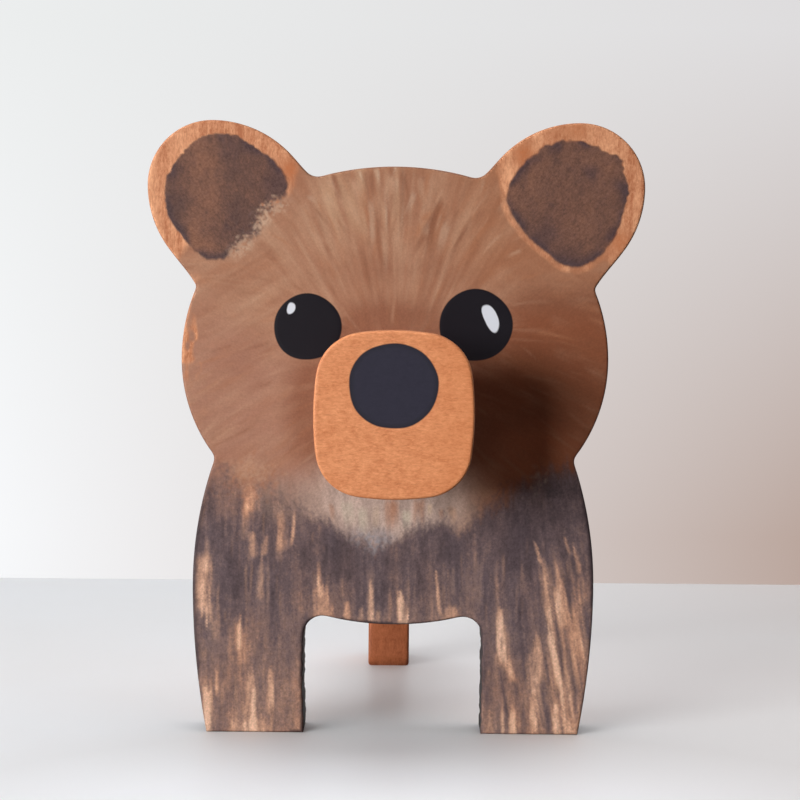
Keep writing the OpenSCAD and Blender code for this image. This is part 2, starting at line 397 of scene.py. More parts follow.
class Canvas:
    """Paint on a flat face: its colour, how much it covers the wood, how thick and how gritty it is."""

    def __init__(self, low, high, dots):
        self.low, self.dots = np.array(low, float), dots
        size = np.ceil((np.array(high) - self.low) * dots).astype(int) + 1
        self.u, self.v = np.meshgrid(self.low[0] + np.arange(size[0]) / dots,
                                     self.low[1] + np.arange(size[1]) / dots)
        self.colour = np.zeros((*self.u.shape, 3))
        self.cover, self.height, self.grit = (np.zeros(self.u.shape) for _ in range(3))

    def window(self, low, high):
        """The part of the canvas between two corners, as slices."""
        a = np.clip(((np.array(low) - self.low) * self.dots).astype(int), 0, None)
        b = np.clip(((np.array(high) - self.low) * self.dots).astype(int) + 2, 0, None)
        return slice(a[1], b[1]), slice(a[0], b[0])

    def lay(self, colour, alpha, part=(slice(None), slice(None)), thickness=0.0):
        """Blends a colour over a part of the canvas."""
        share = alpha[..., None]
        self.colour[part] = self.colour[part] * (1 - share) + colour * share
        self.cover[part] = self.cover[part] * (1 - alpha) + alpha
        self.height[part] += alpha * thickness

    def stroke(self, rng, at, heading, length, width, colour, alpha, bend=0.0, dry=0.35, taper=0.5):
        """One brush stroke from a point along a heading in degrees, with separate bristles."""
        a = math.radians(heading)
        way, side = np.array([math.cos(a), math.sin(a)]), np.array([-math.sin(a), math.cos(a)])
        at = np.array(at, float)
        end = at + way * length + side * bend
        margin = width + abs(bend) * 0.3
        part = self.window(np.minimum(at, end) - margin, np.maximum(at, end) + margin)
        u, v = self.u[part], self.v[part]
        if u.size == 0:
            return
        share = ((u - at[0]) * way[0] + (v - at[1]) * way[1]) / length
        across = (u - at[0]) * side[0] + (v - at[1]) * side[1] - bend * share ** 2
        count = max(4, int(width / 0.3) + 3)
        knots = np.linspace(-width / 2, width / 2, count)
        bristle = np.interp(across, knots, rng.random(count))
        ragged = np.interp(across, knots, rng.random(count)) * 0.3
        start = smooth((share - ragged * 0.5) / 0.2)
        stop = smooth((1 - ragged - share) / taper)
        edge = smooth((1 - np.abs(across) / (width / 2)) * 1.8)
        body = np.clip((bristle - dry * (0.4 + np.clip(share, 0, 1))) * 3 + 0.4, 0, 1)
        self.lay(colour, alpha * start * stop * edge * body, part, 0.01)

    def streaks(self, rng, rows, boost, wander, dry):
        """Single strokes, each given as (start, end, width, colour, strength)."""
        for start, end, width, colour, strength in rows:
            way = np.subtract(end, start)
            bend = rng.normal(0, wander) if wander else 0
            self.stroke(rng, start, math.degrees(math.atan2(way[1], way[0])), np.hypot(*way), width,
                        colour, min(0.9, strength * boost), bend, dry, 0.5)

    def read(self, u, v):
        """Colour, cover, height and grit at points, between the dots."""
        rows, columns = self.u.shape
        x = np.clip((u - self.low[0]) * self.dots, 0, columns - 1.001)
        y = np.clip((v - self.low[1]) * self.dots, 0, rows - 1.001)
        i, j = x.astype(int), y.astype(int)
        s, t = x - i, y - j
        stack = np.dstack([self.colour, self.cover, self.height, self.grit])
        low = stack[j, i] * (1 - s)[:, None] + stack[j, i + 1] * s[:, None]
        high = stack[j + 1, i] * (1 - s)[:, None] + stack[j + 1, i + 1] * s[:, None]
        return low * (1 - t)[:, None] + high * t[:, None]


# What the brush was dipped in
HEAD = linear(163, 116, 91)
HEAD_PALE = linear(186, 146, 119)
HEAD_ROSY = linear(163, 119, 104)
STRAW = linear(196, 158, 124)
HEAD_ORANGE = linear(166, 110, 78)
HEAD_DEEP = linear(132, 86, 64)
# The next brown, round the muzzle, is partly the paint's own colour and partly painted shade
HEAD_RING_AND_SHADE = linear(140, 92, 70)
# The next brown is a painted shadow colour: the rusty brown where the muzzle's shadow falls
SHADOW_RUST = linear(132, 76, 50)
CREAM = linear(204, 178, 154)
CHEST = linear(183, 161, 150)
ASH = linear(142, 119, 109)
PALE_ASH = linear(190, 178, 160)
BLUE_ASH = linear(150, 147, 153)
CHARCOAL = linear(92, 78, 82)
SCRATCH = linear(206, 160, 132)
EDGE_DARK = linear(58, 48, 52)
SAW_BLACK = linear(30, 24, 25)
EAR_DARK = linear(82, 62, 59)
EAR_BLUE = linear(68, 55, 60)
EAR_WARM = linear(128, 90, 73)
RIM_ORANGE = linear(190, 112, 68)
EYE_BLACK = linear(24, 21, 27)
EYE_LIGHT = linear(214, 220, 230)

# Shades of the dry brush on the body, from full charcoal to bare wood, and the tones they stand at
TONES = (0.0, 0.2, 0.42, 0.62, 0.82, 1.0)
COOL = [linear(*shade) for shade in ((76, 65, 70), (98, 84, 88), (126, 105, 101), (160, 130, 116),
                                     (198, 158, 136), (226, 186, 162))]
WARM = [linear(*shade) for shade in ((80, 66, 67), (106, 86, 84), (140, 107, 94), (178, 128, 102),
                                     (210, 156, 124), (232, 182, 148))]


def brush_heading(x, z):
    """Degrees of the fur's run on the head: out from the muzzle, drooping on the cheeks."""
    across, up = x - MUZZLE[0], z - MUZZLE[1]
    turn = math.degrees(math.atan2(up, abs(across)))
    way = np.interp(turn, (-90, -50, -20, 0, 30, 48, 66, 90), (-90, -55, -38, -32, -20, 20, 58, 90))
    return way if across > 0 else 180 - way


# Single streaks on the forehead: (start, end, width, colour, strength)
FOREHEAD = [
    ((1.2, 112), (2.4, 102), 1.3, HEAD_DEEP, 0.5), ((9.2, 105.5), (6, 99), 1.6, HEAD_DEEP, 0.6),
    ((7.6, 102.5), (4.2, 96), 1.7, HEAD_DEEP, 0.6), ((6, 99), (2.8, 93), 1.5, HEAD_DEEP, 0.5),
    ((7.2, 104), (2, 95), 1.8, HEAD_ORANGE, 0.5), ((14.6, 101), (9.4, 92), 0.7, HEAD_DEEP, 0.5),
    ((12.4, 104), (9.6, 97), 1.2, HEAD_DEEP, 0.3), ((-0.8, 111), (-1.8, 103), 1.8, HEAD_PALE, 0.7),
    ((-8.6, 110), (-6.4, 102), 2.4, HEAD_PALE, 0.6), ((-3.8, 112), (-3.2, 106), 0.7, CREAM, 0.45),
    ((-7.4, 111), (-6.6, 107), 0.6, CREAM, 0.45), ((-0.2, 112.5), (-0.2, 108.5), 0.6, CREAM, 0.35),
    ((-5.2, 111), (-4, 104), 1.2, HEAD_DEEP, 0.4), ((-10.4, 107), (-5.6, 96), 1.4, HEAD_PALE, 0.5),
    ((-12.2, 103), (-7.6, 94), 0.8, HEAD_DEEP, 0.3), ((-13.8, 109.4), (-11.6, 105), 1.1, HEAD_PALE, 0.6),
    ((4.6, 110), (4.9, 103), 1.6, HEAD_PALE, 0.4), ((-2.4, 100), (-1.6, 91), 2, HEAD_PALE, 0.3),
    ((17.5, 104), (13, 97), 1.6, HEAD_DEEP, 0.25), ((21, 99), (15.2, 93.5), 0.9, HEAD_PALE, 0.4),
    ((-16.5, 104), (-12, 98), 1, HEAD_DEEP, 0.25), ((0.6, 104), (1.4, 94), 0.7, HEAD_DEEP, 0.3),
    ((-17.5, 99), (-11, 94.5), 1.6, HEAD_PALE, 0.3), ((25, 95.4), (20.4, 94.2), 0.9, HEAD_PALE, 0.5),
    ((-29, 84), (-24, 88), 0.6, HEAD_PALE, 0.6),
]

# How many random strokes: all over the head, on the forehead, in each ear, and hairs under the chest
FUR_COUNT = 1500
BROW_COUNT = 110
EAR_COUNT = 220
FLICK_COUNT = 900

# Long bent streaks that run down to the muzzle: (start, width, colour, strength)
BROW = [((9.6, 106), 3, HEAD_ORANGE, 0.45), ((8.8, 106), 1.5, HEAD_DEEP, 0.85),
        ((1.2, 112.5), 1.2, HEAD_DEEP, 0.5), ((15.5, 103), 1.3, HEAD_DEEP, 0.45)]


def paint_head(canvas, rng):
    """Brown paint in soft strokes that run out from the muzzle."""
    canvas.lay(head_base(canvas.u, canvas.v, rng), np.full(canvas.u.shape, 0.97))
    canvas.grit[:] = 0.42
    fur_strokes(canvas, rng)
    brow_strokes(canvas, rng)
    canvas.streaks(rng, FOREHEAD, 1.2, 0.5, -0.15)
    for start, width, colour, strength in BROW:
        heading = brush_heading(*start) + 180 - 2
        canvas.stroke(rng, start, heading, 16, width, colour, strength, 1.8, -0.2, 0.4)
    wear_cheek(canvas, rng)


def head_base(u, v, rng):
    """The head's paint before the strokes: combed noise, with washes of other browns over it. Some of these
    washes are painted shade and one is painted light.
    """
    reach = np.hypot(u - MUZZLE[0], v - MUZZLE[1])
    turn = np.degrees(np.arctan2(v - MUZZLE[1], np.abs(u - MUZZLE[0])))
    droop = math.radians(32)
    across = np.abs(u) * math.sin(droop) + v * math.cos(droop)
    along = np.abs(u) * math.cos(droop) - v * math.sin(droop)
    side = np.where(u > 0, 90, 0)
    crown = layered_noise(rng, turn * 0.6 + side, reach, ((0.7, 9), (1.6, 13), (3.2, 18)))
    cheek = layered_noise(rng, across + side, along, ((0.7, 6), (1.7, 11), (3.5, 16)))
    top = smooth((turn - 38) / 22)
    comb = cheek + (crown - cheek) * top
    pale = 0.22 + (comb - 0.5) * (1.2 + 1.2 * top) + 0.3 * (soft_noise(rng, u, v, 7, 7) - 0.5)
    pale += 0.3 * smooth(1.4 - np.hypot((u + 5) / 7, (v - 108) / 6))
    base = toward(HEAD, HEAD_DEEP, np.clip(-pale, 0, 0.7))
    base = toward(base, HEAD_PALE, np.clip(pale, 0, 0.8))
    base = toward(base, HEAD_ROSY, 0.45 * smooth((40 - turn) / 25) * smooth((10 - u) / 20))
    # Partly painted shade: the ring round the muzzle is the paint's own deeper brown and also painted shade,
    # and it reaches up above the muzzle; its part to the lower right is a painted shadow of the muzzle
    ring = 0.95 * smooth((25 - reach) / 7) + 0.35 * smooth((35 - reach) / 10) * smooth((v - 86) / 6)
    ring += 0.7 * smooth((u - 14) / 14) * smooth((93 - v) / 8)
    base = toward(base, HEAD_RING_AND_SHADE, np.clip(ring, 0, 0.95))
    # Painted shadow: right of the muzzle, where its shadow falls, the paint turns a deep brown and then a
    # rusty brown
    base = toward(base, HEAD_DEEP, 0.95 * smooth((u - 20) / 9) * smooth((92 - v) / 8))
    base = toward(base, SHADOW_RUST, 0.8 * smooth((u - 12) / 12) * smooth((88 - v) / 8))
    # Painted light: a lighter spot low on the right cheek, below the muzzle's shadow
    base = base * (1 + 0.45 * smooth(1.5 - np.hypot((u - 28) / 8, (v - 56) / 5)))[..., None]
    orange = 0.55 * smooth((u - 5) / 14) * smooth((v - 84) / 10) + 0.4 * smooth((v - 107.5) / 5)
    base = toward(base, HEAD_ORANGE * 0.92, np.clip(orange, 0, 0.8))
    straw = smooth(1.5 - np.hypot((u + 6.5) / 8, (v - 107) / 8)) * np.clip(3 * crown - 1.1, 0, 1)
    return toward(base, STRAW, 0.55 * straw)


def fur_strokes(canvas, rng):
    """Fine and broad strokes all over the head, weaker in the muzzle's shadow."""
    colours = [HEAD_PALE, HEAD, HEAD_ORANGE, HEAD_DEEP]
    for k in range(FUR_COUNT):
        at = np.array([rng.uniform(-44, 44), rng.uniform(46, 114)])
        thin = k % 4 == 0
        shown = 0.5 if at[0] > 12 and at[1] < 78 else 1
        colour = colours[rng.choice(4, p=(0.3, 0.16, 0.26, 0.28))]
        canvas.stroke(rng, at, brush_heading(*at) + rng.normal(0, 6), rng.uniform(5, 16),
                      rng.uniform(0.4, 0.8) if thin else rng.uniform(1.0, 3.2), colour,
                      shown * (rng.uniform(0.15, 0.4) if thin else rng.uniform(0.05, 0.18)),
                      rng.normal(0, 0.8), 0.2)


def brow_strokes(canvas, rng):
    """Stronger strokes on the forehead, drawn towards the muzzle."""
    colours = (CREAM, HEAD_PALE, HEAD_ORANGE, HEAD_DEEP)
    for _ in range(BROW_COUNT):
        at = np.array([rng.normal(0, 10), rng.uniform(97, 113)])
        colour = colours[rng.choice(4, p=(0.15, 0.3, 0.25, 0.3))]
        canvas.stroke(rng, at, brush_heading(*at) + 180 + rng.normal(0, 5), rng.uniform(4, 12),
                      rng.choice((0.5, 0.8, 1.4, 2.4)), colour, rng.uniform(0.12, 0.42),
                      rng.normal(0, 0.7), 0.15)


def wear_cheek(canvas, rng):
    """The paint on the edge of the left cheek is worn down to the wood."""
    u, v = canvas.u, canvas.v
    worn = smooth((-35.5 - u - 4 * soft_noise(rng, u, v, 1.3, 3)) / 3)
    worn *= smooth((v - 66) / 8) * smooth((93 - v) / 8)
    canvas.cover *= 1 - worn * smooth(2.2 * soft_noise(rng, u, v, 0.9, 2.0) - 0.5)


# The dark patches in the ears: middle, width of a bare band round the patch, places of the pale
# speckles on its edge, and outline
EARS = [
    (np.array([-33.2, 105.5]), 0, ((-24, 103.6), (-27.5, 101), (-30.6, 96)),
     [(-34.5, 117.3), (-38.5, 116.2), (-41.9, 113.2), (-44.2, 110), (-45.2, 106), (-44.6, 102), (-42.2, 98),
      (-39.4, 94.8), (-36.8, 92.9), (-33.4, 93), (-31, 95.8), (-26.8, 98), (-26.4, 101.4), (-24.4, 104),
      (-21.5, 105.2), (-21.2, 108), (-23, 111.3), (-26, 114), (-30, 116.3)]),
    (np.array([33.2, 104.5]), 1.3, (),
     [(33.5, 116.8), (29, 115.5), (24.8, 112.3), (22.1, 108.5), (21.4, 105), (22.7, 101.8), (25.5, 98.2),
      (29, 95.2), (32.6, 92.5), (35.6, 91.9), (39, 93.8), (42, 97), (44.1, 102.2), (45.1, 106.5),
      (44.4, 111), (43.6, 113.8), (42.3, 114.4), (40.4, 114.5), (37.6, 116.2)]),
]
EAR_REACH = 20

# Broad clouds in the ears: (x, z, radius, colour, amount)
EAR_CLOUDS = [
    (-36.5, 111, 2.6, EAR_WARM, 0.55), (-37.2, 105, 2.8, EAR_WARM, 0.5), (-37, 100, 2.4, EAR_WARM, 0.35),
    (-32.6, 114, 2.2, EAR_BLUE, 0.5), (-32.4, 109.6, 2, EAR_DARK, 0.6), (-23.8, 107.6, 2.2, EAR_BLUE, 0.6),
    (-33.8, 98, 2.6, EAR_DARK, 0.5), (-29.5, 101, 2.6, EAR_DARK, 0.45), (-42.5, 104, 2.2, EAR_DARK, 0.6),
    (38, 110.4, 1.5, EAR_BLUE, 0.7), (29.6, 98.8, 2.6, EAR_BLUE, 0.6), (33.4, 94, 2.4, EAR_BLUE, 0.5),
    (35.8, 99.6, 3.2, EAR_WARM, 0.45), (27.4, 109.6, 2.8, EAR_WARM, 0.4), (41.6, 111.8, 1.6, EAR_WARM, 0.5),
    (34, 105, 2.6, EAR_WARM, 0.25), (43.4, 108, 1.4, EAR_BLUE, 0.6),
]

# Where the stain on the rims of the ears is a deeper orange: (x, z, radius, amount)
RIM_CLOUDS = [(-20.6, 110.4, 3.4, 0.75), (-27, 118, 2.4, 0.3), (-46.4, 99, 2.4, 0.3), (24.6, 114, 3.6, 0.7),
              (31, 118.6, 3, 0.35), (43.6, 97, 3.6, 0.7), (38.4, 92.4, 3, 0.5), (18.6, 107, 2.6, 0.4),
              (-46.6, 107, 3, 0.25), (35.4, 118.8, 3.4, 0.6)]


def outline_distance(loop, u, v):
    """Distance in mm to a closed outline, negative inside it."""
    points = np.column_stack([u.ravel(), v.ravel()])
    best = np.full(len(points), np.inf)
    for a, b in zip(loop, np.roll(loop, -1, axis=0)):
        way = b - a
        share = np.clip((points - a) @ way / (way @ way), 0, 1)
        best = np.minimum(best, np.linalg.norm(points - a - share[:, None] * way, axis=1))
    return np.where(inside(loop, points), -best, best).reshape(u.shape)


def paint_ears(canvas, rng):
    """Dark ragged patches inside the ears, with the stain left bare on their outer side."""
    for middle, band, speckled, outline in EARS:
        part = canvas.window(middle - EAR_REACH, middle + EAR_REACH)
        u, v = canvas.u[part], canvas.v[part]
        drawn = np.array(outline, float)
        loop = resample(drawn if area(drawn) > 0 else drawn[::-1], 0.8)
        away = outline_distance(loop, u, v)
        inward = u - middle[0] if middle[0] < 0 else middle[0] - u
        turn = (np.degrees(np.arctan2(v - middle[1], inward)) + 60) % 360 - 60
        bare_rim(canvas, rng, part, away, turn, band)
        ragged = (soft_noise(rng, u, v, 0.7, 0.7) - 0.5) * 0.7 + (soft_noise(rng, u, v, 2.2, 2.2) - 0.5) * 0.6
        edge = away + ragged * (0.4 + 0.6 * smooth((90 - abs(turn - 120)) / 60))
        near = sum(cloud(u, v, x, z, 8) for x, z in speckled)
        if speckled:
            edge = edge + (soft_noise(rng, u, v, 0.35, 0.35) - 0.5) * 3 * smooth(near)
        colour = ear_colour(rng, u, v, edge, middle[0] < 0)
        canvas.lay(colour, 0.96 * smooth(0.5 - edge / (0.5 + 2.6 * smooth(near))), part, 0.03)
        canvas.grit[part] += (1.15 - canvas.grit[part]) * smooth(0.5 - edge)
        ear_strokes(canvas, rng, part, middle, away)
        if speckled:
            fringe = smooth(1.15 - np.abs(edge - 0.8) / 2.2) * smooth(near * 1.3)
            specks = smooth(2.6 * soft_noise(rng, u, v, 0.35, 0.35) - 0.6 - 0.5 * smooth(-edge))
            canvas.lay(CREAM, (0.25 + 0.5 * soft_noise(rng, u, v, 1.8, 1.8)) * fringe * specks, part)


def bare_rim(canvas, rng, part, away, turn, band):
    """Takes the head's paint off the rim of an ear, and deepens the stain in places."""
    u, v = canvas.u[part], canvas.v[part]
    width = 1.4 + 4.6 * smooth((turn + 5) / 50) + 1.6 * (soft_noise(rng, u, v, 1.6, 1.6) - 0.5)
    rim = smooth((turn + 26) / 30) * smooth((240 - turn) / 14) * smooth((width - away) / 2.6)
    patchy = 0.3 + 0.5 * soft_noise(rng, u, v, 1.5, 1.5)
    rim = np.maximum(rim, smooth((band + 0.6 - away) / 1.2) * patchy)
    canvas.cover[part] *= 1 - rim
    for x, z, radius, amount in RIM_CLOUDS:
        canvas.lay(RIM_ORANGE, amount * cloud(u, v, x, z, radius ** 2) * rim, part)


def ear_colour(rng, u, v, edge, left):
    """Mottled brown, warm in an upright streak in the left ear and bluish along the patch's edge."""
    tone = soft_noise(rng, u, v, 2.2, 4.5) * 0.55 + soft_noise(rng, u, v, 0.45, 0.7) * 0.45
    warm = tone * 0.6
    if left:
        streak = np.abs(u + 37.4 - (v - 105) * 0.03) / (3.3 + 1.3 * soft_noise(rng, u, v, 2, 4))
        warm = warm + smooth(1.25 - streak) * (0.25 + 0.5 * tone)
        warm = warm + smooth((100 - v) / 5) * 0.25
    else:
        warm = warm + 0.22
    colour = toward(EAR_DARK, EAR_WARM, np.clip(warm, 0, 1.1))
    for x, z, radius, other, amount in EAR_CLOUDS:
        spot = cloud(u, v, x, z, radius ** 2) * (0.6 + 0.8 * tone)
        colour = toward(colour, other, amount * np.clip(spot, 0, 1))
    blue = smooth(1 + edge / 2.6) * np.clip(2.4 * soft_noise(rng, u, v, 2.6, 2.6) - 0.5, 0, 1)
    return toward(colour, EAR_BLUE, blue)


def ear_strokes(canvas, rng, part, middle, away):
    """Short strokes that stay inside the dark patch."""
    corner = (canvas.u[part][0, 0], canvas.v[part][0, 0])
    for _ in range(EAR_COUNT):
        at = middle + rng.uniform(-11, 11, 2)
        row, column = np.clip((at - corner) * canvas.dots, 0, len(away) - 1).astype(int)[::-1]
        if away[row, column] > -2:
            continue
        colour = (EAR_DARK, EAR_WARM, EAR_BLUE)[rng.choice(3, p=[0.35, 0.4, 0.25])]
        canvas.stroke(rng, at, 90 + rng.normal(0, 25), rng.uniform(1.5, 5), rng.uniform(0.6, 2.2),
                      colour, rng.uniform(0.08, 0.25), 0, 0.4)


# Where the dry brush left the wood bare, or laid the charcoal thick where the amount is negative:
# (x at the middle, z of the point, z of the wide end, width there, lean in degrees, amount)
FEATHERS = [
    # left flank
    (-37.3, 20.5, 37, 4.4, 2, 0.52), (-36.4, 40, 31, 2, 0, 0.26), (-27.6, 40.5, 34, 2.4, 2, 0.42),
    (-25.2, 39.8, 34.5, 1.7, -8, 0.36), (-26, 36.5, 25, 1.3, 0, 0.36), (-29.3, 46, 37, 2.6, 0, 0.26),
    (-24.6, 37, 24, 0.6, 0, 0.24),
    (-27.4, 49, 43, 3.2, 0, 0.22), (-21.9, 44.5, 35, 3.4, 0, 0.3), (-22.6, 40, 33.5, 1.8, 0, 0.22),
    (-19.6, 46.5, 36, 0.8, -7, 0.5), (-34.5, 27, 17, 3, 0, 0.16), (-17.2, 31, 23, 3.2, 0, 0.14),
    (-31.2, 38, 26, 8.5, 0, -0.1), (-33, 51, 40, 3.6, 0, -0.1), (-23.3, 35, 15, 3, 0, -0.16),
    (-25.1, 48.5, 38.5, 1.6, -10, -0.2), (-36.4, 25, 9, 2.4, 0, -0.1),
    # left leg
    (-30.2, 26, 12, 4.8, 0, 0.26), (-30.3, 25, 15.5, 1.7, 0, 0.42), (-34.6, 13.5, 7, 0.9, 0, 0.4),
    (-36.4, 10.5, -3, 3.2, 0, 0.42), (-36.7, 6, -3, 2, 0, 0.16), (-27.6, 15, -3, 2.8, 1, 0.3),
    (-27.2, 10.5, -2, 1.7, 0, 0.36), (-24.1, 15, 3, 2.4, 0, 0.34), (-26.4, 5.5, -4, 7.5, 0, 0.3),
    (-30, 3, -3, 6.5, 0, 0.2), (-31.4, 11.5, 3.5, 5, 0, -0.12), (-20.2, 24, -3, 4.6, 0, -0.06),
    # belly
    (-14.4, 34, 26, 1.6, 4, 0.3), (-13.8, 31, 21, 4.6, 3, 0.38), (-8.9, 27.5, 21, 2.2, 0, 0.4),
    (-4.4, 30.5, 21, 2.2, 0, 0.5), (-6.2, 25.6, 21, 1.3, 0, 0.34), (-3, 25.4, 20.5, 1.6, 0, 0.26),
    (-0.7, 30, 21, 1.1, 0, 0.26), (1.8, 29.5, 20, 2.4, 7, 0.9), (8.9, 33, 22, 0.8, 6, 0.45),
    (11.8, 33.5, 27, 0.9, 0, 0.22), (11.6, 26, 21, 5, 0, 0.34), (16.4, 36, 24, 3.4, 0, 0.12),
    (-11, 42, 29, 11, 0, -0.12), (-6.9, 33, 23, 1.4, 0, -0.16), (-1.8, 34, 23, 1.8, 0, -0.16),
    (9, 43, 33, 9, 0, -0.14), (5, 36, 26, 3.4, 0, -0.1),
    # right leg
    (21.2, 26, 13, 2.8, 4, 0.52), (22.9, 16.5, 10, 2.4, 26, 0.34), (20.5, 32, 23, 0.7, 2, 0.22),
    (28.3, 20, 9, 3, 1, 0.22), (28, 11.5, -3, 2, 4, 0.34), (21.9, 8, -3, 1.3, 2, 0.52),
    (23.7, 6.5, -3, 2.4, 3, 0.52), (19.3, 8, -3, 1.6, 3, 0.24), (21.9, 14.5, 3, 0.8, 10, -0.28),
    (25.6, 30, 14, 4, 4, -0.16), (30.3, 16, -2, 2.4, 1, -0.26), (25.9, 9, -3, 1.2, 0, -0.16),
    (25, 47, 31, 12, 0, -0.12), (18.6, 20, 6, 2.2, 0, -0.12),
    # right flank
    (28.3, 39.5, 33, 0.9, 17, 0.55), (30.2, 36, 20, 1.3, 8, 0.3), (34, 40, 35.5, 1, 20, 0.42),
    (35.9, 39, 31, 1.1, 14, 0.36), (36.8, 33, 25, 1.6, 9, 0.26), (33.8, 33, 12, 5.6, 10, 0.17),
    (36.3, 30, 10, 3.4, 4, 0.17), (33.2, 29, 20.5, 2.8, 8, 0.22), (31.9, 21.5, 8, 1.6, 11, 0.75),
    (33.9, 11, -3, 1.5, 9, 0.62), (34.6, 18, -2, 3.6, 6, 0.22), (32.4, 8, -3, 1.9, 0, 0.4),
    (33.4, 4, -3, 5, 0, 0.2), (36.5, 5, -3, 1.6, 0, 0.16), (37.3, 36, 27, 1.8, 0, -0.16),
    (32.8, 24, 12, 0.6, 10, -0.28), (35.4, 22, 4, 0.6, 8, -0.26), (34.2, 34, 22, 0.7, 11, -0.24),
]


def add_feather(canvas, tone, streaks, x, tip, foot, width, lean, amount):
    """Adds one feathered wedge to the tone of the body, from its pointed tip to its wide foot."""
    drift = math.tan(math.radians(lean))
    reach = abs(drift * (tip - foot)) / 2 + width * 1.3
    part = canvas.window((x - reach, min(tip, foot) - 2), (x + reach, max(tip, foot) + 2))
    u, v = canvas.u[part], canvas.v[part]
    ragged = streaks[part] - 0.5
    share = (tip - v) / (tip - foot) + ragged * 0.4
    half = width / 2 * (0.35 + 0.65 * np.clip(share, 0, 1) ** 0.7)
    across = (u - x - ((tip + foot) / 2 - v) * drift) / half
    body = np.exp(-1.1 * across ** 2) * smooth(share / 0.32) * smooth((1.05 - share) / 0.3)
    body = smooth((body + ragged * 0.9 - 0.12) / 0.75) * smooth(body / 0.15)
    tone[part] += amount * body


# Height of the soft edge where the charcoal of the body begins: (x, z)
DARK_TOP = [(-38, 50.5), (-34, 51.5), (-30, 49), (-24, 47), (-20, 44.5), (-16.5, 43.4), (-12, 41),
            (-8, 38.6), (-4, 36.6), (0, 38.2), (3, 39.8), (6, 41.2), (10, 41.8), (13, 40), (16, 42.4),
            (20, 45.5), (25, 49), (30, 52), (38, 53)]


def dark_top(x):
    return np.interp(x, *zip(*DARK_TOP))


def along_ramp(tone, ramp):
    """The colour of each tone on a ramp of shades."""
    return np.dstack([np.interp(tone, TONES, channel) for channel in np.transpose(ramp)])


def paint_body(canvas, rng):
    """Charcoal laid with a dry brush over the peach wood, from the shoulders down."""
    u, v = canvas.u, canvas.v
    lean = np.tan(np.radians(10 * smooth((u - 20) / 11)))
    across = u + (v - 20) * lean
    scales = ((0.3, 4.5), (0.7, 11), (1.9, 15))
    fine, middling, wide = (soft_noise(rng, across, v, *scale) for scale in scales)
    blotch = soft_noise(rng, u, v, 1.4, 2.4)
    grain = soft_noise(rng, u, v, 0.3, 0.4)
    streaks = 0.36 * fine + 0.34 * middling + 0.3 * wide + 0.12 * (grain - 0.5)
    tone = np.interp(v, (-1, 3, 10, 18, 26, 34, 42), (0.52, 0.50, 0.46, 0.37, 0.26, 0.18, 0.16))
    for feather in FEATHERS:
        add_feather(canvas, tone, streaks, *feather)
    flank = smooth((u - 26) / 5) * smooth((37 - v) / 8)
    lines = soft_noise(rng, across, v, 0.45, 14) - 0.5
    tone = tone + (streaks - 0.5) * (0.5 + 0.5 * flank) + lines * 0.45 * flank
    tone = tone + ((blotch - 0.5) * 0.16 + (grain - 0.5) * 0.14) * (1 - 0.4 * flank)
    brown = smooth((v - 39) / 6) * smooth((-17 - u) / 5)
    tone = tone + brown * (0.17 + (wide - 0.5) * 0.5)
    warmth = np.clip(0.65 * soft_noise(rng, across, v, 3, 10) + 0.5 * brown, 0, 1)
    colour = toward(along_ramp(tone, COOL), along_ramp(tone, WARM), warmth)
    edge = dark_top(u) + (fine - 0.5) * 1.6 + (middling - 0.5) * 1.4
    edge += (blotch - 0.5) * 1.6 + (grain - 0.5) * 1.6
    soft = 3.2 + 2.4 * smooth((u - 14) / 10) + 3.5 * smooth((-16 - u) / 4)
    canvas.lay(colour, 0.98 * smooth((edge - v) / soft + 0.5))
    wash = smooth(1.35 - np.hypot((u + 21.5) / 6, (v - 46.5) / 5)) * (0.5 + 0.5 * middling)
    canvas.lay(ASH * (0.8 + 0.4 * fine)[..., None], 0.75 * wash)
    canvas.grit += (1 - canvas.grit) * smooth((edge - v) / 4 + 0.5)


# Single streaks on the chest: (start, end, width, colour, strength)
CHEST_STREAKS = [
    ((-0.6, 48), (-0.2, 37), 3.8, HEAD_ORANGE, 0.5), ((0.2, 48), (-0.2, 38.5), 2, HEAD_ORANGE, 0.35),
    ((5, 48), (4.9, 39), 3, HEAD_ORANGE, 0.5), ((2.6, 45), (2.6, 39), 2.2, PALE_ASH, 0.75),
    ((7.2, 46.5), (6.8, 41), 1.1, CREAM, 0.9), ((-9.5, 47), (-8, 39), 3.2, PALE_ASH, 0.5),
    ((-6.4, 46), (-5.4, 37), 2.4, PALE_ASH, 0.6), ((11, 46), (12.6, 40), 2, HEAD_PALE, 0.6),
    ((-12.4, 46), (-11.6, 41), 1.2, HEAD_ORANGE, 0.4), ((9.2, 45), (9.6, 41.5), 1.2, HEAD_ORANGE, 0.4),
    ((-3.4, 46), (-3.6, 38.5), 1.8, CREAM, 0.35), ((14.5, 46), (17, 42), 2.4, ASH, 0.5),
    ((-16, 48), (-17, 43.5), 2.4, ASH, 0.5),
]


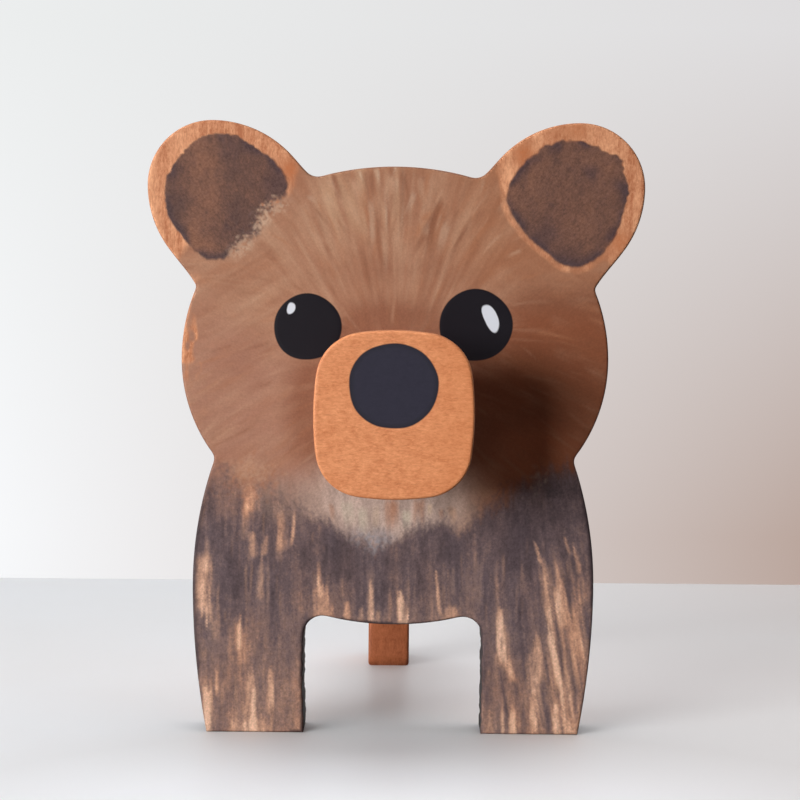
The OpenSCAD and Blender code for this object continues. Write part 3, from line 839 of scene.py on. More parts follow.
def paint_chest(canvas, rng):
    """The pale patch under the muzzle."""
    u, v = canvas.u, canvas.v
    mask = smooth(1.5 - np.hypot((u + 1) / 17, (v - 45.5) / 9))
    fan = u * (1 + (46 - v) * 0.02)
    comb = 0.5 * soft_noise(rng, fan, v, 0.45, 3) + 0.5 * soft_noise(rng, fan, v, 1.2, 5)
    base = CHEST * (0.7 + 0.6 * comb)[..., None]
    # Partly painted shade: the right side of the chest, near the muzzle's shadow, goes to the brown of the
    # ring
    base = toward(base, HEAD_RING_AND_SHADE, 0.5 * smooth((u - 13) / 6))
    base = toward(base, BLUE_ASH, 0.55 * smooth((42 - v) / 4) * smooth((2 - u) / 3))
    canvas.lay(base, 0.92 * mask)
    canvas.grit += (0.8 - canvas.grit) * mask
    lobe = smooth(1.5 - np.hypot((u + 4.6) / 4.6, (v - 36.6) / 3.6))
    specks = smooth(2.8 * soft_noise(rng, u, v, 0.4, 0.5) - 0.7)
    canvas.lay(BLUE_ASH, 0.75 * lobe * specks)
    canvas.streaks(rng, CHEST_STREAKS, 1, 0, -0.05)


# Blotches between the head and the flanks: (place, spread, colour, count)
BLOTCHES = [((-28, 51.4), (2.4, 1.4), CREAM * 0.45 + HEAD_ORANGE * 0.55, 200),
            ((-28.6, 49), (3.6, 2), HEAD_ORANGE, 110), ((-33.2, 51), (1.2, 1.5), CHARCOAL, 60),
            ((28.2, 50.5), (0.9, 1.6), CHEST, 16), ((33, 50), (2, 2), CHARCOAL, 30)]


def paint_flicks(canvas, rng):
    """Thin hairs of charcoal over the chest's edge, and the blotches."""
    for _ in range(FLICK_COUNT):
        x = rng.uniform(-24, 22)
        at = (x, dark_top(x) + rng.normal(-0.6, 1.6))
        canvas.stroke(rng, at, 90 - x * 1.2 + rng.normal(0, 16),
                      rng.uniform(0.5, 2.6), rng.uniform(0.28, 0.5),
                      CHARCOAL * rng.uniform(0.7, 1.1), rng.uniform(0.15, 0.5), 0, 0.1)
    for place, spread, colour, count in BLOTCHES:
        for _ in range(count):
            canvas.stroke(rng, rng.normal(place, spread), 70 + rng.normal(0, 30), rng.uniform(0.6, 2.2),
                          rng.uniform(0.4, 1.1), colour, rng.uniform(0.15, 0.4), 0, 0.3)


# Fields of thin lines left by single bristles: (left, right, low, high, lean in degrees, count)
SLASHES = [(28.5, 38.5, 2, 38, 9, 170), (-38, -19, 0, 20, 0, 120), (18, 29, 0, 22, 2, 80),
           (-37, -20, 22, 46, 0, 70), (-15, 14, 22, 32, 0, 40), (-18, 30, 26, 42, 0, 60)]


def paint_slashes(canvas, rng):
    """Thin bright and dark lines, most of them on the right flank."""
    for left, right, low, high, lean, count in SLASHES:
        for _ in range(count):
            at = (rng.uniform(left, right), rng.uniform(low, high))
            light = rng.random() < 0.5
            heading = -90 + lean + rng.normal(0, 2.5)
            length, width = rng.uniform(3, 13), rng.uniform(0.28, 0.6)
            colour = SCRATCH * rng.uniform(0.6, 1) if light else CHARCOAL * rng.uniform(0.7, 1)
            strength = rng.uniform(0.15, 0.5) * (0.7 if at[1] > 24 and light else 1)
            canvas.stroke(rng, at, heading, length, width, colour, strength, rng.normal(0, 0.3), 0.3)


def paint_board(rng):
    """The whole painted front, on a canvas a little larger than the board."""
    canvas = Canvas((board_low[0] - CANVAS_MARGIN, -CANVAS_MARGIN),
                    (board_high[0] + CANVAS_MARGIN, board_high[2] + CANVAS_MARGIN), DOTS)
    for paint in (paint_head, paint_chest, paint_body, paint_slashes, paint_flicks, paint_ears):
        paint(canvas, rng)
    return canvas


def polar_outline(u, v, centre, radii, wobble, flat=2.0):
    """Distance in mm, about, to a wobbly superellipse; negative inside it."""
    x, y = (u - centre[0]) / radii[0], (v - centre[1]) / radii[1]
    turn = np.arctan2(y, x)
    size = (np.abs(x) ** flat + np.abs(y) ** flat) ** (1 / flat)
    edge = 1 + sum(a * np.sin(k * turn + p) for k, a, p in wobble)
    return (size - edge) * (radii[0] + radii[1]) / 2


# The eyes: middle, radius, middle of the painted highlight, its radii and its lean in degrees. The right
# eye's highlight is larger: partly a dot of white paint and partly a painted reflection of a window.
EYES = [((-17.1, 80.0), 6.55, (-20.35, 83.6), (0.75, 1.15), 10),
        ((15.7, 80.6), 7.1, (18.6, 82.0), (1.25, 2.9), -27)]
WOBBLE = [(2, 0.012, 1.0), (3, 0.012, 2.2), (5, 0.006, 0.3)]
GLINT_WOBBLE = [(2, 0.06, 0.6), (3, 0.05, 1.4)]


def eye_distance(u, v):
    """Distance to the edge of the nearer eye, negative inside it."""
    return np.minimum(*[polar_outline(u, v, middle, (radius, radius), WOBBLE) for middle, radius, *_ in EYES])


def glint_distance(u, v):
    """Distance to the edge of the painted highlight in an eye."""
    made = []
    for _, _, middle, radii, lean in EYES:
        a = math.radians(lean)
        x, y = u - middle[0], v - middle[1]
        across, up = x * math.cos(a) - y * math.sin(a), x * math.sin(a) + y * math.cos(a)
        made.append(polar_outline(across, up, (0, 0), radii, GLINT_WOBBLE, 2.3))
    return np.minimum(*made)


# ---------------------------------------------------------------- the painted board

def set_values(mesh, name, values, kind="FLOAT", field="value"):
    layer = mesh.attributes.new(name, kind, "POINT")
    layer.data.foreach_set(field, np.asarray(values, np.float32).ravel())


def set_colours(mesh, name, values):
    layer = mesh.color_attributes.new(name, "FLOAT_COLOR", "POINT")
    layer.data.foreach_set("color", np.asarray(values, np.float32).ravel())


def front_board():
    """The board's solid, its painted face a fine mesh, and each point's distance to the outline."""
    front, back = board_low[1], board_high[1]
    outline = resample(flat_face_loops("front_board", 1)[0], OUTLINE_STEP)
    head_r = round_box("muzzle_screw")[3]
    solid = Solid(1)
    jag = rough_sides(outline, np.random.default_rng(SAW_SEED))
    rings, insets = [], []
    for deep, y in arris_profile(front, back, ARRIS, SIDE_STEP):
        wall = inset(outline, deep)
        if deep < ARRIS:
            wall = wall + jag * (1 - deep / ARRIS)
        rings.append(solid.add(wall, y))
        insets += [deep] * len(wall)
    solid.tube(rings)
    seat = [solid.add(circle(*MUZZLE, r, SEAT_SIDES), y) for r, y in (
        (NECK_R, front), (NECK_R, neck_high[1]), (SCREW_R, neck_high[1]), (SCREW_R, back - SCREW_HEAD),
        (head_r, back - SCREW_RIM), (head_r, back))]
    solid.tube(seat)
    holes = [(seat[-1], MUZZLE, head_r)]
    for name in LEG_DOWELS:
        low, _, centre, radius = round_box(name)
        mouth, floor = (solid.add(circle(*centre, radius, HOLE_SIDES), y) for y in (back, low[1]))
        solid.bridge(mouth, floor)
        solid.disc(floor, centre, low[1])
        holes.append((mouth, centre, radius))
    solid.fill(rings[0], [(seat[0], MUZZLE, NECK_R)], front, PAINTED_STEP)
    solid.fill(rings[-1], holes, back, BACK_STEP)
    tree = KDTree(len(outline))
    for k, (x, z) in enumerate(outline):
        tree.insert((x, 0, z), k)
    tree.balance()
    from_edge = np.array([tree.find((x, 0, z))[2] for x, _, z in solid.array()])
    from_edge[:len(insets)] = insets
    return solid, from_edge


# Height up to which the inner sides of the front legs are dark, and the depth of a usual saw mark
ARCH_TOP = 23.6
SAW_DEPTH = 0.075


def rough_sides(outline, rng):
    """Saw marks: small steps in and out along the inner sides of the front legs."""
    count = len(outline)
    noise = rng.normal(0, 1, count) * 0.5 + np.repeat(rng.normal(0, 1, count // 2 + 1), 2)[:count]
    middle = np.clip((21 - outline[:, 1]) / 4, 0, 1) * np.clip((18.2 - np.abs(outline[:, 0])) / 0.5, 0, 1)
    middle *= np.clip(outline[:, 1] / 1.5, 0, 1)
    inward = inset(outline, 1.0) - outline
    return inward * (np.clip(noise, -2, 2) * SAW_DEPTH * middle)[:, None]


def side_paint(points, rng):
    """Colour and cover on the sides: stain on the head, charcoal on the body, black between the legs."""
    x, y, z = points.T
    line = dark_top(x) + (soft_noise(rng, x + y, z, 1.0, 3.0) - 0.5) * 4
    dark = np.clip((line - z) / 2, 0, 1)
    tone = soft_noise(rng, y, z, 0.8, 6)
    between = np.clip((ARCH_TOP - z) / 0.6, 0, 1) * np.clip((18.3 - np.abs(x)) / 0.3, 0, 1)
    body = toward(toward(EDGE_DARK, CHARCOAL, tone), SAW_BLACK, between)
    return toward(toward(HEAD_ORANGE, HEAD_DEEP, tone), body, dark), 0.4 + 0.6 * dark


def edge_line(points, from_edge, on_front, rng):
    """Strength of the dark line along the arris. It is broad on the flanks and inside the legs."""
    x, y, z = points.T
    body = smooth((dark_top(x) - 2 - z) / 4)
    wobble = soft_noise(rng, x + y, z - x, 1.2, 1.2)
    flank = smooth((np.abs(x) - 33) / 2) * smooth((z - 8 - 0.2 * (x + 36)) / 6)
    # Inside the left leg, which faces away from the window, the line is stronger: partly dark paint and
    # partly painted shade
    inner = smooth((ARCH_TOP - z) / 1.5) * smooth((20.4 - np.abs(x)) / 0.8) * np.where(x < 0, 0.75, 0.35)
    broad = np.maximum(flank, inner)
    line = smooth((0.5 + 0.8 * broad - from_edge - 0.4 * wobble) / (0.4 + 0.4 * broad)) * on_front * body
    line *= 0.5 + 0.5 * np.maximum(broad, smooth((z - 5) / 8))
    return np.maximum(line, smooth((ARRIS * 0.7 - from_edge) / 0.25) * on_front * (1 - body) * 0.5)


def painted_board():
    """The board with its paint held in the points of its mesh."""
    solid, from_edge = front_board()
    points = solid.array()
    x, y, z = points.T
    rng = np.random.default_rng(PAINT_SEED)
    painted = paint_board(rng).read(x, z)
    depth = y - board_low[1]
    on_front = np.clip((ARRIS * 0.9 - depth) / (ARRIS * 0.5), 0, 1)
    on_back = np.clip((y - (board_high[1] - ARRIS)) / (ARRIS * 0.6), 0, 1)
    side_colour, side_cover = side_paint(points, rng)
    cover = (side_cover + (painted[:, 3] - side_cover) * on_front) * (1 - on_back)
    line = edge_line(points, from_edge, on_front, rng)
    colour = toward(toward(side_colour, painted[:, :3], on_front), EDGE_DARK, line * 0.85)
    eye = eye_distance(x, z)
    thickness = (painted[:, 4] + 0.05 * np.clip(-eye / 0.4, 0, 1)) * (depth < 1e-6)
    points[:, 1] -= np.clip(thickness, 0, PAINT_DEPTH)
    solid.points = [points]
    piece = make_object("painted_board", solid)
    mesh = piece.data
    grit = np.where(depth < ARRIS, painted[:, 5], 0.8)
    set_colours(mesh, "paint", np.column_stack([colour, grit]))
    set_values(mesh, "cover", np.maximum(cover, line))
    set_values(mesh, "eye", np.where(depth < ARRIS, eye, FAR))
    set_values(mesh, "glint", glint_distance(x, z))
    set_values(mesh, "bristles", bristle_place(points, depth), "FLOAT_VECTOR", "vector")
    mesh.materials.append(board_material())
    stand_for(piece, "front_board")


def bristle_place(points, depth):
    """Across and along the way the brush went, in mm."""
    x, y, z = points.T
    away = np.column_stack([x, z]) - MUZZLE
    head = z > dark_top(x)
    front = depth <= ARRIS
    across = np.where(front & head, np.arctan2(away[:, 0], away[:, 1]) * 42, x + y * ~front)
    along = np.where(front & head, np.linalg.norm(away, axis=1), z)
    return np.column_stack([across, along, depth])


# ---------------------------------------------------------------- materials

class Shader:
    """Builds a node material with short calls."""

    def __init__(self, name):
        self.material = bpy.data.materials.new(name)
        self.material.use_nodes = True
        self.tree = self.material.node_tree
        self.surface = self.tree.nodes["Principled BSDF"]

    def node(self, kind, inputs=(), **settings):
        made = self.tree.nodes.new("ShaderNode" + kind)
        for key, value in settings.items():
            setattr(made, key, value)
        for key, value in dict(inputs).items():
            self.put(made.inputs[key], value)
        return made

    def put(self, socket, value):
        if isinstance(value, bpy.types.NodeSocket):
            self.tree.links.new(value, socket)
        elif isinstance(value, (tuple, list, np.ndarray)) and len(value) == 3 and socket.type == "RGBA":
            socket.default_value = (*[float(v) for v in value], 1)
        else:
            socket.default_value = value

    def coat(self, **looks):
        """Sets the surface's sockets, named in small letters with _ for a space, and gives the material."""
        for socket in self.surface.inputs:
            key = socket.name.lower().replace(" ", "_")
            if key in looks:
                self.put(socket, looks[key])
        return self.material

    def spot(self):
        """Object coordinates in metres."""
        return self.node("TexCoord").outputs["Object"]

    def attribute(self, name, output="Fac"):
        return self.node("Attribute", attribute_name=name).outputs[output]

    def math(self, operation, a, b=0.5, c=0.0):
        return self.node("Math", {0: a, 1: b, 2: c}, operation=operation).outputs[0]

    def sway(self, value, amount, base):
        """The base, moved up and down by how far a value from 0 to 1 is off its middle."""
        return self.math("MULTIPLY_ADD", self.math("SUBTRACT", value, 0.5), amount, base)

    def span(self, value, low, high, to_low=0.0, to_high=1.0):
        made = self.node("MapRange", {"Value": value, "From Min": low, "From Max": high,
                                      "To Min": to_low, "To Max": to_high})
        return made.outputs["Result"]

    def mix(self, share, a, b):
        made = self.node("Mix", data_type="RGBA")
        self.put(made.inputs["Factor"], share)
        self.put(made.inputs[6], a)
        self.put(made.inputs[7], b)
        return made.outputs[2]

    def place(self, scale, source=None):
        """Object coordinates in mm, or a source, stretched by a scale for each axis."""
        if source is None:
            source = self.spot()
            scale = tuple(s / MM for s in scale)
        return self.node("Mapping", {"Vector": source, "Scale": scale}).outputs["Vector"]

    def noise(self, place, detail=3.0, rough=0.55, warp=0.0):
        made = self.node("TexNoise", {"Vector": place, "Scale": 1.0, "Detail": detail,
                                      "Roughness": rough, "Distortion": warp})
        return made.outputs["Fac"]

    def bump(self, height, strength, distance):
        made = self.node("Bump", {"Height": height, "Strength": strength, "Distance": distance * MM})
        return made.outputs["Normal"]


def along_grain(grain, across, along):
    """Scale of a pattern that is stretched along the grain axis."""
    return tuple(1 / along if axis == grain else 1 / across for axis in range(3))


def wood_colour(shader, pale, deep, grain, fleck=0.25, bands=0.5, spots=1.0):
    """Stained hardwood: soft bands and mottles, fine fibres and short dark flecks."""
    band = shader.noise(shader.place(along_grain(grain, 2.2, 26)), detail=2, warp=0.4)
    mottle = shader.noise(shader.place((0.45, 0.45, 0.45)), detail=5, rough=0.75)
    fibres = shader.noise(shader.place(along_grain(grain, 0.36, 0.9)), detail=3, rough=0.6, warp=0.6)
    tone = shader.sway(fibres, 0.8, shader.sway(band, bands, shader.sway(mottle, spots, 0.5)))
    colour = shader.mix(shader.span(tone, 0.26, 0.76), deep, pale)
    rays = shader.noise(shader.place(along_grain(grain, 0.35, 1.8)), detail=2, rough=0.5, warp=0.3)
    return shader.mix(shader.span(rays, 0.58, 0.72, 0, fleck), colour, deep * 0.7), fibres, rays


def board_material():
    """Paint over bare wood, with the grit of a dry brush and the smooth black of the eyes."""
    shader = Shader("painted_board")
    wood = wood_colour(shader, linear(231, 170, 130), linear(176, 111, 77), 2, 0.4, 0.9, 0.6)[0]
    brush = shader.attribute("bristles", "Vector")
    grit = shader.attribute("paint", "Alpha")
    fine = shader.noise(shader.place((1 / 0.3, 1 / 1.6, 1 / 0.8), brush), detail=3, rough=0.7)
    coarse = shader.noise(shader.place((1 / 0.9, 1 / 7, 1 / 2), brush), detail=2, rough=0.5)
    specks = shader.noise(shader.place((2.6, 2.6, 2.6)), detail=2, rough=0.7)
    cover = shader.attribute("cover")
    shown = shader.math("MULTIPLY", shader.span(shader.sway(specks, 0.5, cover), 0.2, 0.8),
                        shader.span(cover, 0.0, 0.1))
    light = shader.math("MULTIPLY", shader.math("SUBTRACT", fine, 0.5), 0.62)
    light = shader.sway(specks, 1.0, shader.sway(coarse, 0.3, light))
    light = shader.math("MULTIPLY_ADD", light, grit, 1.0)
    paint = shader.node("VectorMath", {0: shader.attribute("paint", "Color")}, operation="SCALE")
    shader.put(paint.inputs["Scale"], light)
    eye = shader.span(shader.attribute("eye"), -0.1, 0.1, 1, 0)
    glint = shader.math("MULTIPLY", shader.span(shader.attribute("glint"), -0.12, 0.12, 1, 0), eye)
    colour = shader.mix(eye, shader.mix(shown, wood, paint.outputs[0]), EYE_BLACK)
    roughness = shader.math("MULTIPLY_ADD", eye, -0.2, shader.span(fine, 0.2, 0.8, 0.5, 0.68))
    relief = shader.math("MULTIPLY_ADD", fine, 0.7, shader.math("MULTIPLY", coarse, 0.5))
    flat = shader.math("SUBTRACT", 1.0, shader.math("MULTIPLY", eye, 0.7))
    relief = shader.math("MULTIPLY", relief, shader.math("MULTIPLY", flat, shader.math("ADD", grit, 0.2)))
    return shader.coat(base_color=shader.mix(glint, colour, EYE_LIGHT), roughness=roughness,
                       normal=shader.bump(relief, 0.5, 0.05), specular_ior_level=0.14)


def wood_material(name, pale, deep, grain, fleck=0.25, bands=0.5, spots=1.0, nose=False):
    """Stained wood, with the nose painted on it where that is asked for."""
    shader = Shader(name)
    colour, fibres, rays = wood_colour(shader, pale, deep, grain, fleck, bands, spots)
    roughness = shader.span(fibres, 0.2, 0.8, 0.42, 0.6)
    if nose:
        across = shader.node("SeparateXYZ", {0: shader.place((1, 1, 1))}).outputs["X"]
        # Painted shade: the stain darkens towards the plate's right side, away from the window
        colour = shader.mix(shader.span(across, 2, 15, 0, 0.3), colour, linear(206, 124, 72))
        paint = shader.noise(shader.place((1.2, 1.2, 1.2)), detail=4, rough=0.7)
        black = shader.mix(paint, linear(34, 33, 46), linear(43, 41, 56))
        rim = shader.span(shader.attribute("nose"), -1.0, -0.2, 0, 0.6)
        inside = shader.span(shader.attribute("nose"), -0.1, 0.1, 1, 0)
        colour = shader.mix(inside, colour, shader.mix(rim, black, linear(24, 23, 30)))
        roughness = shader.math("MULTIPLY_ADD", inside, 0.12, roughness)
    grooves = shader.math("MULTIPLY_ADD", rays, -0.4, fibres)
    return shader.coat(base_color=colour, roughness=roughness, normal=shader.bump(grooves, 0.45, 0.03),
                       specular_ior_level=0.22)


def steel_material():
    shader = Shader("zinc_steel")
    rings = shader.noise(shader.place((6, 0.6, 6)), detail=4, rough=0.7)
    stains = shader.noise(shader.place((0.5, 0.5, 0.5)), detail=3)
    return shader.coat(base_color=shader.mix(stains, linear(196, 194, 188), linear(166, 166, 168)),
                       roughness=shader.span(rings, 0.3, 0.75, 0.24, 0.5),
                       normal=shader.bump(rings, 0.3, 0.03), metallic=1.0)


# ---------------------------------------------------------------- other pieces

# The painted nose: middle, radii, wobble and squareness of its outline
NOSE = ((-0.05, 69.8), (8.1, 7.7), [(1, 0.012, -0.84), (3, 0.005, 0.5), (5, 0.006, 1.0), (9, 0.003, 0.3)],
        2.12)


def muzzle_plate():
    """The plate in front, with a soft arris, the seat of its neck and the painted nose."""
    front, back = plate_low[1], plate_high[1]
    outline = resample(flat_face_loops("muzzle_plate", 1)[0], OUTLINE_STEP)
    solid = Solid(1)
    profile = arris_profile(front, back, PLATE_ARRIS, SIDE_STEP)
    rings = [solid.add(inset(outline, deep), y) for deep, y in profile]
    solid.tube(rings)
    mouth, floor = (solid.add(circle(*MUZZLE, NECK_R, SEAT_SIDES), y) for y in (back, neck_low[1]))
    solid.bridge(mouth, floor)
    solid.disc(floor, MUZZLE, neck_low[1])
    solid.fill(rings[0], [], front, PLATE_STEP)
    solid.fill(rings[-1], [(mouth, MUZZLE, NECK_R)], back, PLAIN_STEP)
    points = solid.array()
    nose = polar_outline(points[:, 0], points[:, 2], *NOSE)
    piece = make_object("stained_muzzle", solid)
    set_values(piece.data, "nose", np.where(points[:, 1] < front + 0.4, nose, FAR))
    piece.data.materials.append(wood_material("muzzle_wood", linear(236, 162, 114), linear(198, 120, 76),
                                              0, 0.3, 0.15, 0.7, nose=True))
    stand_for(piece, "muzzle_plate")


def lathe(solid, centre, profile, count, shape=None):
    """Rings round the y axis. profile is (radius, y); shape changes the radius by angle and ring."""
    rings = []
    turn = np.arange(count) * 2 * math.pi / count
    for radius, y in profile:
        r = np.full(count, float(radius)) if shape is None else shape(turn, radius, y)
        flat = np.column_stack([centre[0] + r * np.cos(turn), centre[1] + r * np.sin(turn)])
        rings.append(solid.add(flat, y))
    solid.tube(rings)
    return rings


def muzzle_neck():
    """A turned dowel with soft ends and the screw's bore through it."""
    low, high = neck_low[1], neck_high[1]
    rng = np.random.default_rng(TURNING_SEED)
    rows = np.linspace(low + NECK_ARRIS, high - NECK_ARRIS, 60)
    wave = rng.normal(0, 0.012, len(rows))
    profile = [(NECK_R - NECK_ARRIS, low), (NECK_R - 0.15, low + 0.15), (NECK_R, low + NECK_ARRIS)]
    profile += [(NECK_R + w - 0.02, y) for w, y in zip(wave[1:-1], rows[1:-1])]
    profile += [(NECK_R, high - NECK_ARRIS), (NECK_R - 0.15, high - 0.15), (NECK_R - NECK_ARRIS, high)]
    solid = Solid(1)
    outer = lathe(solid, MUZZLE, profile, TURNED_SIDES)
    inner = lathe(solid, MUZZLE, [(SCREW_R, low), (SCREW_R, high)], TURNED_SIDES)
    solid.bridge(outer[0], inner[0])
    solid.bridge(outer[-1], inner[1])
    piece = make_object("turned_neck", solid)
    piece.data.materials.append(wood_material("neck_wood", linear(214, 148, 104), linear(168, 106, 68), 1))
    stand_for(piece, "muzzle_neck")


def rear_leg():
    """The rear leg board with rounded arrises and its two blind dowel holes."""
    low, high = mm_box("rear_leg")
    outline = resample(flat_face_loops("rear_leg", 0)[0], LEG_OUTLINE_STEP, LEG_CORNER_GAP)
    solid = Solid(0)
    profile = arris_profile(low[0], high[0], LEG_ARRIS, SIDE_STEP)
    rings = [solid.add(inset(outline, deep), x) for deep, x in profile]
    solid.tube(rings)
    solid.fill(rings[0], [], low[0], PLAIN_STEP)
    solid.fill(rings[-1], [], high[0], PLAIN_STEP)
    piece = make_object("rear_leg_board", solid)
    for dowel in LEG_DOWELS:
        drill(piece, dowel, low[1])
    piece.data.materials.append(wood_material("leg_wood", linear(178, 106, 70), linear(140, 78, 48),
                                              2, 0.3, 0.8))
    stand_for(piece, "rear_leg")


def drill(piece, dowel, face):
    """Cuts a blind hole for a dowel, from the face of the piece to the dowel's end."""
    _, high, centre, radius = round_box(dowel)
    solid = Solid(1)
    rings = lathe(solid, centre, [(radius, face - 1), (radius, high[1])], BIT_SIDES)
    solid.disc(rings[0], centre, face - 1)
    solid.disc(rings[1], centre, high[1])
    bit = make_object("drill", solid)
    cut = piece.modifiers.new("hole", "BOOLEAN")
    cut.operation, cut.object, cut.solver = "DIFFERENCE", bit, "EXACT"
    ready = piece.evaluated_get(bpy.context.evaluated_depsgraph_get())
    drilled = bpy.data.meshes.new_from_object(ready)
    piece.modifiers.remove(cut)
    piece.data = drilled
    bpy.data.objects.remove(bit)


# The dowel pins: how many flutes, how deep they are, and the chamfer of the ends
FLUTES = 18
FLUTE_DEPTH = 0.18
DOWEL_CHAMFER = 0.6


def leg_dowel(node, material):
    """A fluted dowel pin with chamfered ends."""
    low, high, centre, radius = round_box(node)

    def fluted(turn, r, y):
        return r - FLUTE_DEPTH * (0.5 - 0.5 * np.cos(turn * FLUTES)) ** 2 * (r / radius)

    rows = np.linspace(low[1] + DOWEL_CHAMFER, high[1] - DOWEL_CHAMFER, 12)
    profile = [(radius - DOWEL_CHAMFER, low[1])] + [(radius, y) for y in rows]
    profile += [(radius - DOWEL_CHAMFER, high[1])]
    solid = Solid(1)
    rings = lathe(solid, centre, profile, FLUTES * 6, fluted)
    solid.disc(rings[0], centre, low[1])
    solid.disc(rings[-1], centre, high[1])
    piece = make_object("fluted_" + node, solid)
    piece.data.materials.append(material)
    stand_for(piece, node)


# The screw's thread: its core's radius, its pitch, how far from the head it ends, rows of the mesh
THREAD_CORE = 1.15
THREAD_PITCH = 1.4
THREAD_END = 9
THREAD_ROW = 0.12

# The cross recess in the screw's head: half its arms' width, their reach and their depth
CROSS_HALF = 0.42
CROSS_ARM = 1.85
CROSS_DEPTH = 1.6


def screw_profile(tip, face, head_r):
    """(radius, y) of the screw from its tip to its head. The rows of radius SCREW_R carry the thread."""
    thread_end = face - THREAD_END
    return ([(SCREW_R, y) for y in np.arange(tip + THREAD_ROW, thread_end, THREAD_ROW)]
            + [(SCREW_R - 0.3, thread_end + 0.2), (SCREW_R - 0.3, face - SCREW_HEAD - 0.1),
               (SCREW_R - 0.02, face - SCREW_HEAD), (head_r, face - SCREW_RIM), (head_r, face - 0.08),
               (head_r - 0.08, face)])


def cross_outline():
    """Corners of the cross recess, a quarter turn at a time."""
    cross = []
    for quarter in range(4):
        a = quarter * math.pi / 2
        for p, q in ((CROSS_ARM, -CROSS_HALF), (CROSS_ARM, CROSS_HALF), (CROSS_HALF, CROSS_HALF)):
            cross.append((MUZZLE[0] + p * math.cos(a) - q * math.sin(a),
                          MUZZLE[1] + p * math.sin(a) + q * math.cos(a)))
    return np.array(cross)


def muzzle_screw():
    """A countersunk wood screw: a cross recess in its head and a thread round its shank."""
    low, high, _, head_r = round_box("muzzle_screw")
    tip, face = low[1], high[1]

    def threaded(turn, r, y):
        if r != SCREW_R:
            return np.full(len(turn), float(r))
        wave = ((y - tip) / THREAD_PITCH - turn / (2 * math.pi)) % 1
        ridge = np.clip(1 - np.abs(wave - 0.5) / 0.24, 0, 1)
        taper = np.clip((y - tip) / 4, 0.02, 1)
        return taper * (THREAD_CORE + (SCREW_R - THREAD_CORE) * ridge)

    solid = Solid(1)
    rings = lathe(solid, MUZZLE, screw_profile(tip, face, head_r), SCREW_SIDES, threaded)
    solid.disc(rings[0], MUZZLE, tip)
    cross = cross_outline()
    mouth = solid.add(cross, face)
    deep = solid.add(MUZZLE + (cross - MUZZLE) * 0.55, face - CROSS_DEPTH)
    solid.bridge(mouth, deep)
    solid.disc(deep, MUZZLE, face - CROSS_DEPTH - 0.3)
    flat = np.vstack([solid.array()[rings[-1]][:, [0, 2]], cross])
    ids = np.concatenate([rings[-1], mouth])
    edges = closed_edges(0, SCREW_SIDES) + closed_edges(SCREW_SIDES, len(cross))
    triangles = triangulate(flat, edges, SCREW_SIDES)
    middle = np.abs(flat[triangles].mean(axis=1) - MUZZLE)
    slot = (middle.min(axis=1) < CROSS_HALF) & (middle.max(axis=1) < CROSS_ARM)
    solid.faces.extend(map(tuple, ids[triangles[~slot]].tolist()))
    piece = make_object("countersunk_screw", solid)
    piece.data.materials.append(steel_material())
    stand_for(piece, "muzzle_screw")


# ---------------------------------------------------------------- stage, in metres

def box_object(name, low, high, soft):
    """A slab of the stage with rounded edges."""
    work = bmesh.new()
    bmesh.ops.create_cube(work, size=1)
    size = Vector(high) - Vector(low)
    bmesh.ops.scale(work, vec=size, verts=work.verts)
    bmesh.ops.translate(work, vec=(Vector(low) + Vector(high)) / 2, verts=work.verts)
    bmesh.ops.bevel(work, geom=work.edges[:], offset=soft, segments=6, affect="EDGES", profile=0.5)
    mesh = bpy.data.meshes.new(name)
    work.to_mesh(mesh)
    work.free()
    mesh.shade_smooth()
    return show(name, mesh)


# Low and high corners of the stage's two slabs
TABLE_BOX = ((-3, -3, -0.04), (3, 0.18, 0))
BACKDROP_BOX = ((-3, 1.1, -1.5), (3, 1.14, 2.5))

# In front of the feet, the middle of a painted pool of light: the table glows there as if the room's light
# brightened it
LIGHT_POOL_PLACE = (0.005, -0.125, 0)


def white_table():
    """A pale table. It is cooler and lighter on the left than on the right: a painted falloff of the window's
    light.
    """
    table = box_object("table", *TABLE_BOX, 0.006)
    shader = Shader("table_white")
    dust = shader.noise(shader.place((0.01, 0.01, 0.01)), detail=4)
    sideways = shader.span(shader.node("SeparateXYZ", {0: shader.spot()}).outputs["X"], -0.03, 0.14)
    # Painted light and shade: cool and pale on the left, darker and warmer on the right
    painted_falloff = shader.mix(sideways, (0.82, 0.865, 0.92), (0.71, 0.655, 0.64))
    # far from the part, where the lamps do not reach, the table glows so that it keeps its pale look, and in
    # front of the feet it glows in a painted pool of light
    away = shader.node("VectorMath", {0: shader.spot()}, operation="LENGTH")
    ahead = shader.node("VectorMath", {0: shader.spot(), 1: LIGHT_POOL_PLACE}, operation="DISTANCE")
    painted_glow = shader.math("ADD", shader.span(away.outputs["Value"], 0.3, 1.1, 0, 1),
                       shader.span(ahead.outputs["Value"], 0.04, 0.1, 0.34, 0))
    table.data.materials.append(shader.coat(
        base_color=shader.mix(dust, painted_falloff, (0.79, 0.80, 0.815)),
        roughness=shader.span(dust, 0.3, 0.7, 0.42, 0.52), specular_ior_level=0.12,
        emission_color=(0.60, 0.65, 0.72), emission_strength=painted_glow))
    table.visible_diffuse = False


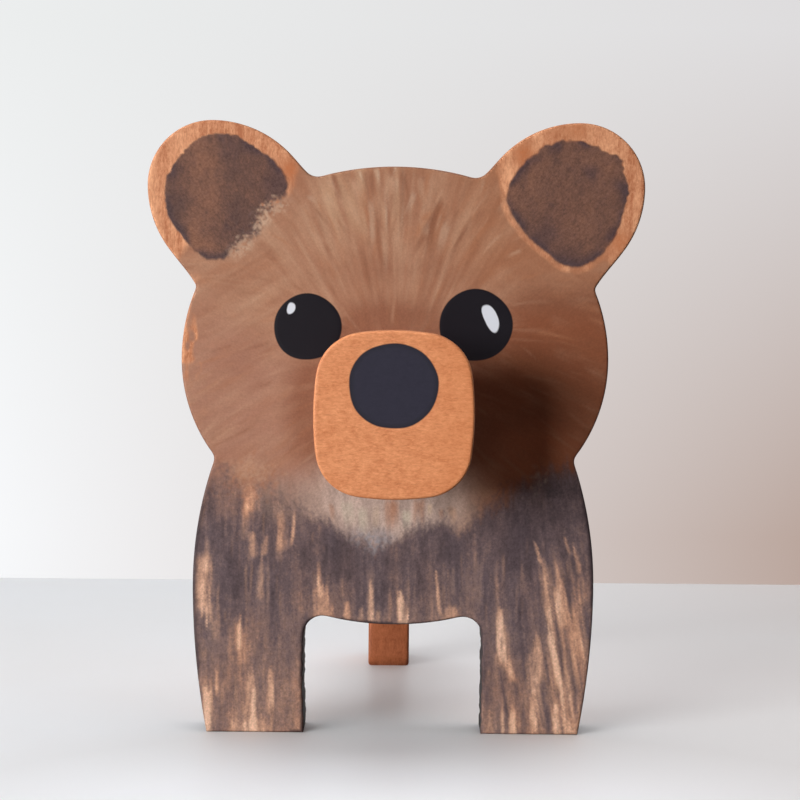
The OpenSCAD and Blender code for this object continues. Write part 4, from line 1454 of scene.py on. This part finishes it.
def backdrop():
    """A pale wall far behind the part, which gives off its own light. That light is painted: brightest low on
    the left, with a painted soft shadow, dark and warm, low on the right.
    """
    wall = box_object("backdrop", *BACKDROP_BOX, 0.01)
    shader = Shader("backdrop_white")
    parts = shader.node("SeparateXYZ", {0: shader.spot()})
    sideways = shader.span(parts.outputs["X"], -0.32, 0.32)
    upward = shader.span(parts.outputs["Z"], -0.1, 0.3)
    # Painted light and shade: pale low on the left, a warm painted shadow low on the right, pale again far to
    # the right
    low = shader.mix(sideways, linear(248, 249, 251), linear(187, 167, 158))
    top = shader.mix(sideways, linear(236, 238, 238), linear(222, 220, 221))
    beyond = shader.span(parts.outputs["X"], 0.45, 0.8)
    colour = shader.mix(beyond, shader.mix(upward, low, top), linear(228, 226, 226))
    painted_glow = shader.node("Emission", {"Color": colour, "Strength": 1.0})
    shader.put(shader.tree.nodes["Material Output"].inputs["Surface"], painted_glow.outputs[0])
    wall.data.materials.append(shader.material)


def area_light(name, azimuth, elevation, distance, size, power, colour, aim):
    """A rectangular soft light. Azimuth 0 is the camera's side and grows to the left."""
    a, e = math.radians(azimuth), math.radians(elevation)
    way = Vector((-math.sin(a) * math.cos(e), -math.cos(a) * math.cos(e), math.sin(e)))
    data = bpy.data.lights.new(name, "AREA")
    data.shape = "RECTANGLE"
    data.size, data.size_y = size
    data.energy = power
    data.color = colour
    lamp = show(name, data)
    lamp.location = Vector(aim) + way * distance
    lamp.rotation_mode = "QUATERNION"
    lamp.rotation_quaternion = way.to_track_quat("Z", "Y")


def lights():
    """A window low on the left, a ceiling, and a dim room that the camera sees as pale grey."""
    area_light("window", 46, 9, 1.1, (0.75, 0.34), 16.2, (1.0, 0.985, 0.97), (0, -0.02, 0.06))
    area_light("ceiling", 0, 87, 1.4, (0.9, 0.9), 10.6, (1.0, 0.98, 0.97), (0, 0.05, 0))
    world = bpy.data.worlds.new("room")
    world.use_nodes = True
    tree = world.node_tree
    dim = tree.nodes["Background"]
    dim.inputs["Color"].default_value = (0.045, 0.03, 0.024, 1)
    seen = tree.nodes.new("ShaderNodeBackground")
    seen.inputs["Color"].default_value = (0.8, 0.8, 0.8, 1)
    path = tree.nodes.new("ShaderNodeLightPath")
    both = tree.nodes.new("ShaderNodeMixShader")
    for socket, source in zip(both.inputs, (path.outputs["Is Camera Ray"], dim.outputs[0], seen.outputs[0])):
        tree.links.new(source, socket)
    tree.links.new(both.outputs[0], tree.nodes["World Output"].inputs["Surface"])
    bpy.context.scene.world = world


# The camera stands in front of the muzzle, looks slightly down and is slightly rolled
CAMERA_PLACE = (0.00105, -0.399, 0.0852)
CAMERA_DOWN = 2.99
CAMERA_ROLL = 0.5
LENS = 85.3


def camera():
    data = bpy.data.cameras.new("camera")
    data.lens = LENS
    data.sensor_width = 36
    data.clip_start, data.clip_end = 0.01, 20
    eye = show("camera", data)
    eye.matrix_world = (Matrix.Translation(CAMERA_PLACE)
                        @ Matrix.Rotation(math.radians(90 - CAMERA_DOWN), 4, "X")
                        @ Matrix.Rotation(math.radians(CAMERA_ROLL), 4, "Z"))
    bpy.context.scene.camera = eye


camera()
painted_board()
muzzle_plate()
muzzle_neck()
muzzle_screw()
rear_leg()
dowel_wood = wood_material("dowel_beech", linear(222, 190, 150), linear(190, 152, 110), 1, 0.35, 0.3)
for dowel in LEG_DOWELS:
    leg_dowel(dowel, dowel_wood)
white_table()
backdrop()
lights()
bpy.context.scene.view_settings.view_transform = "Standard"
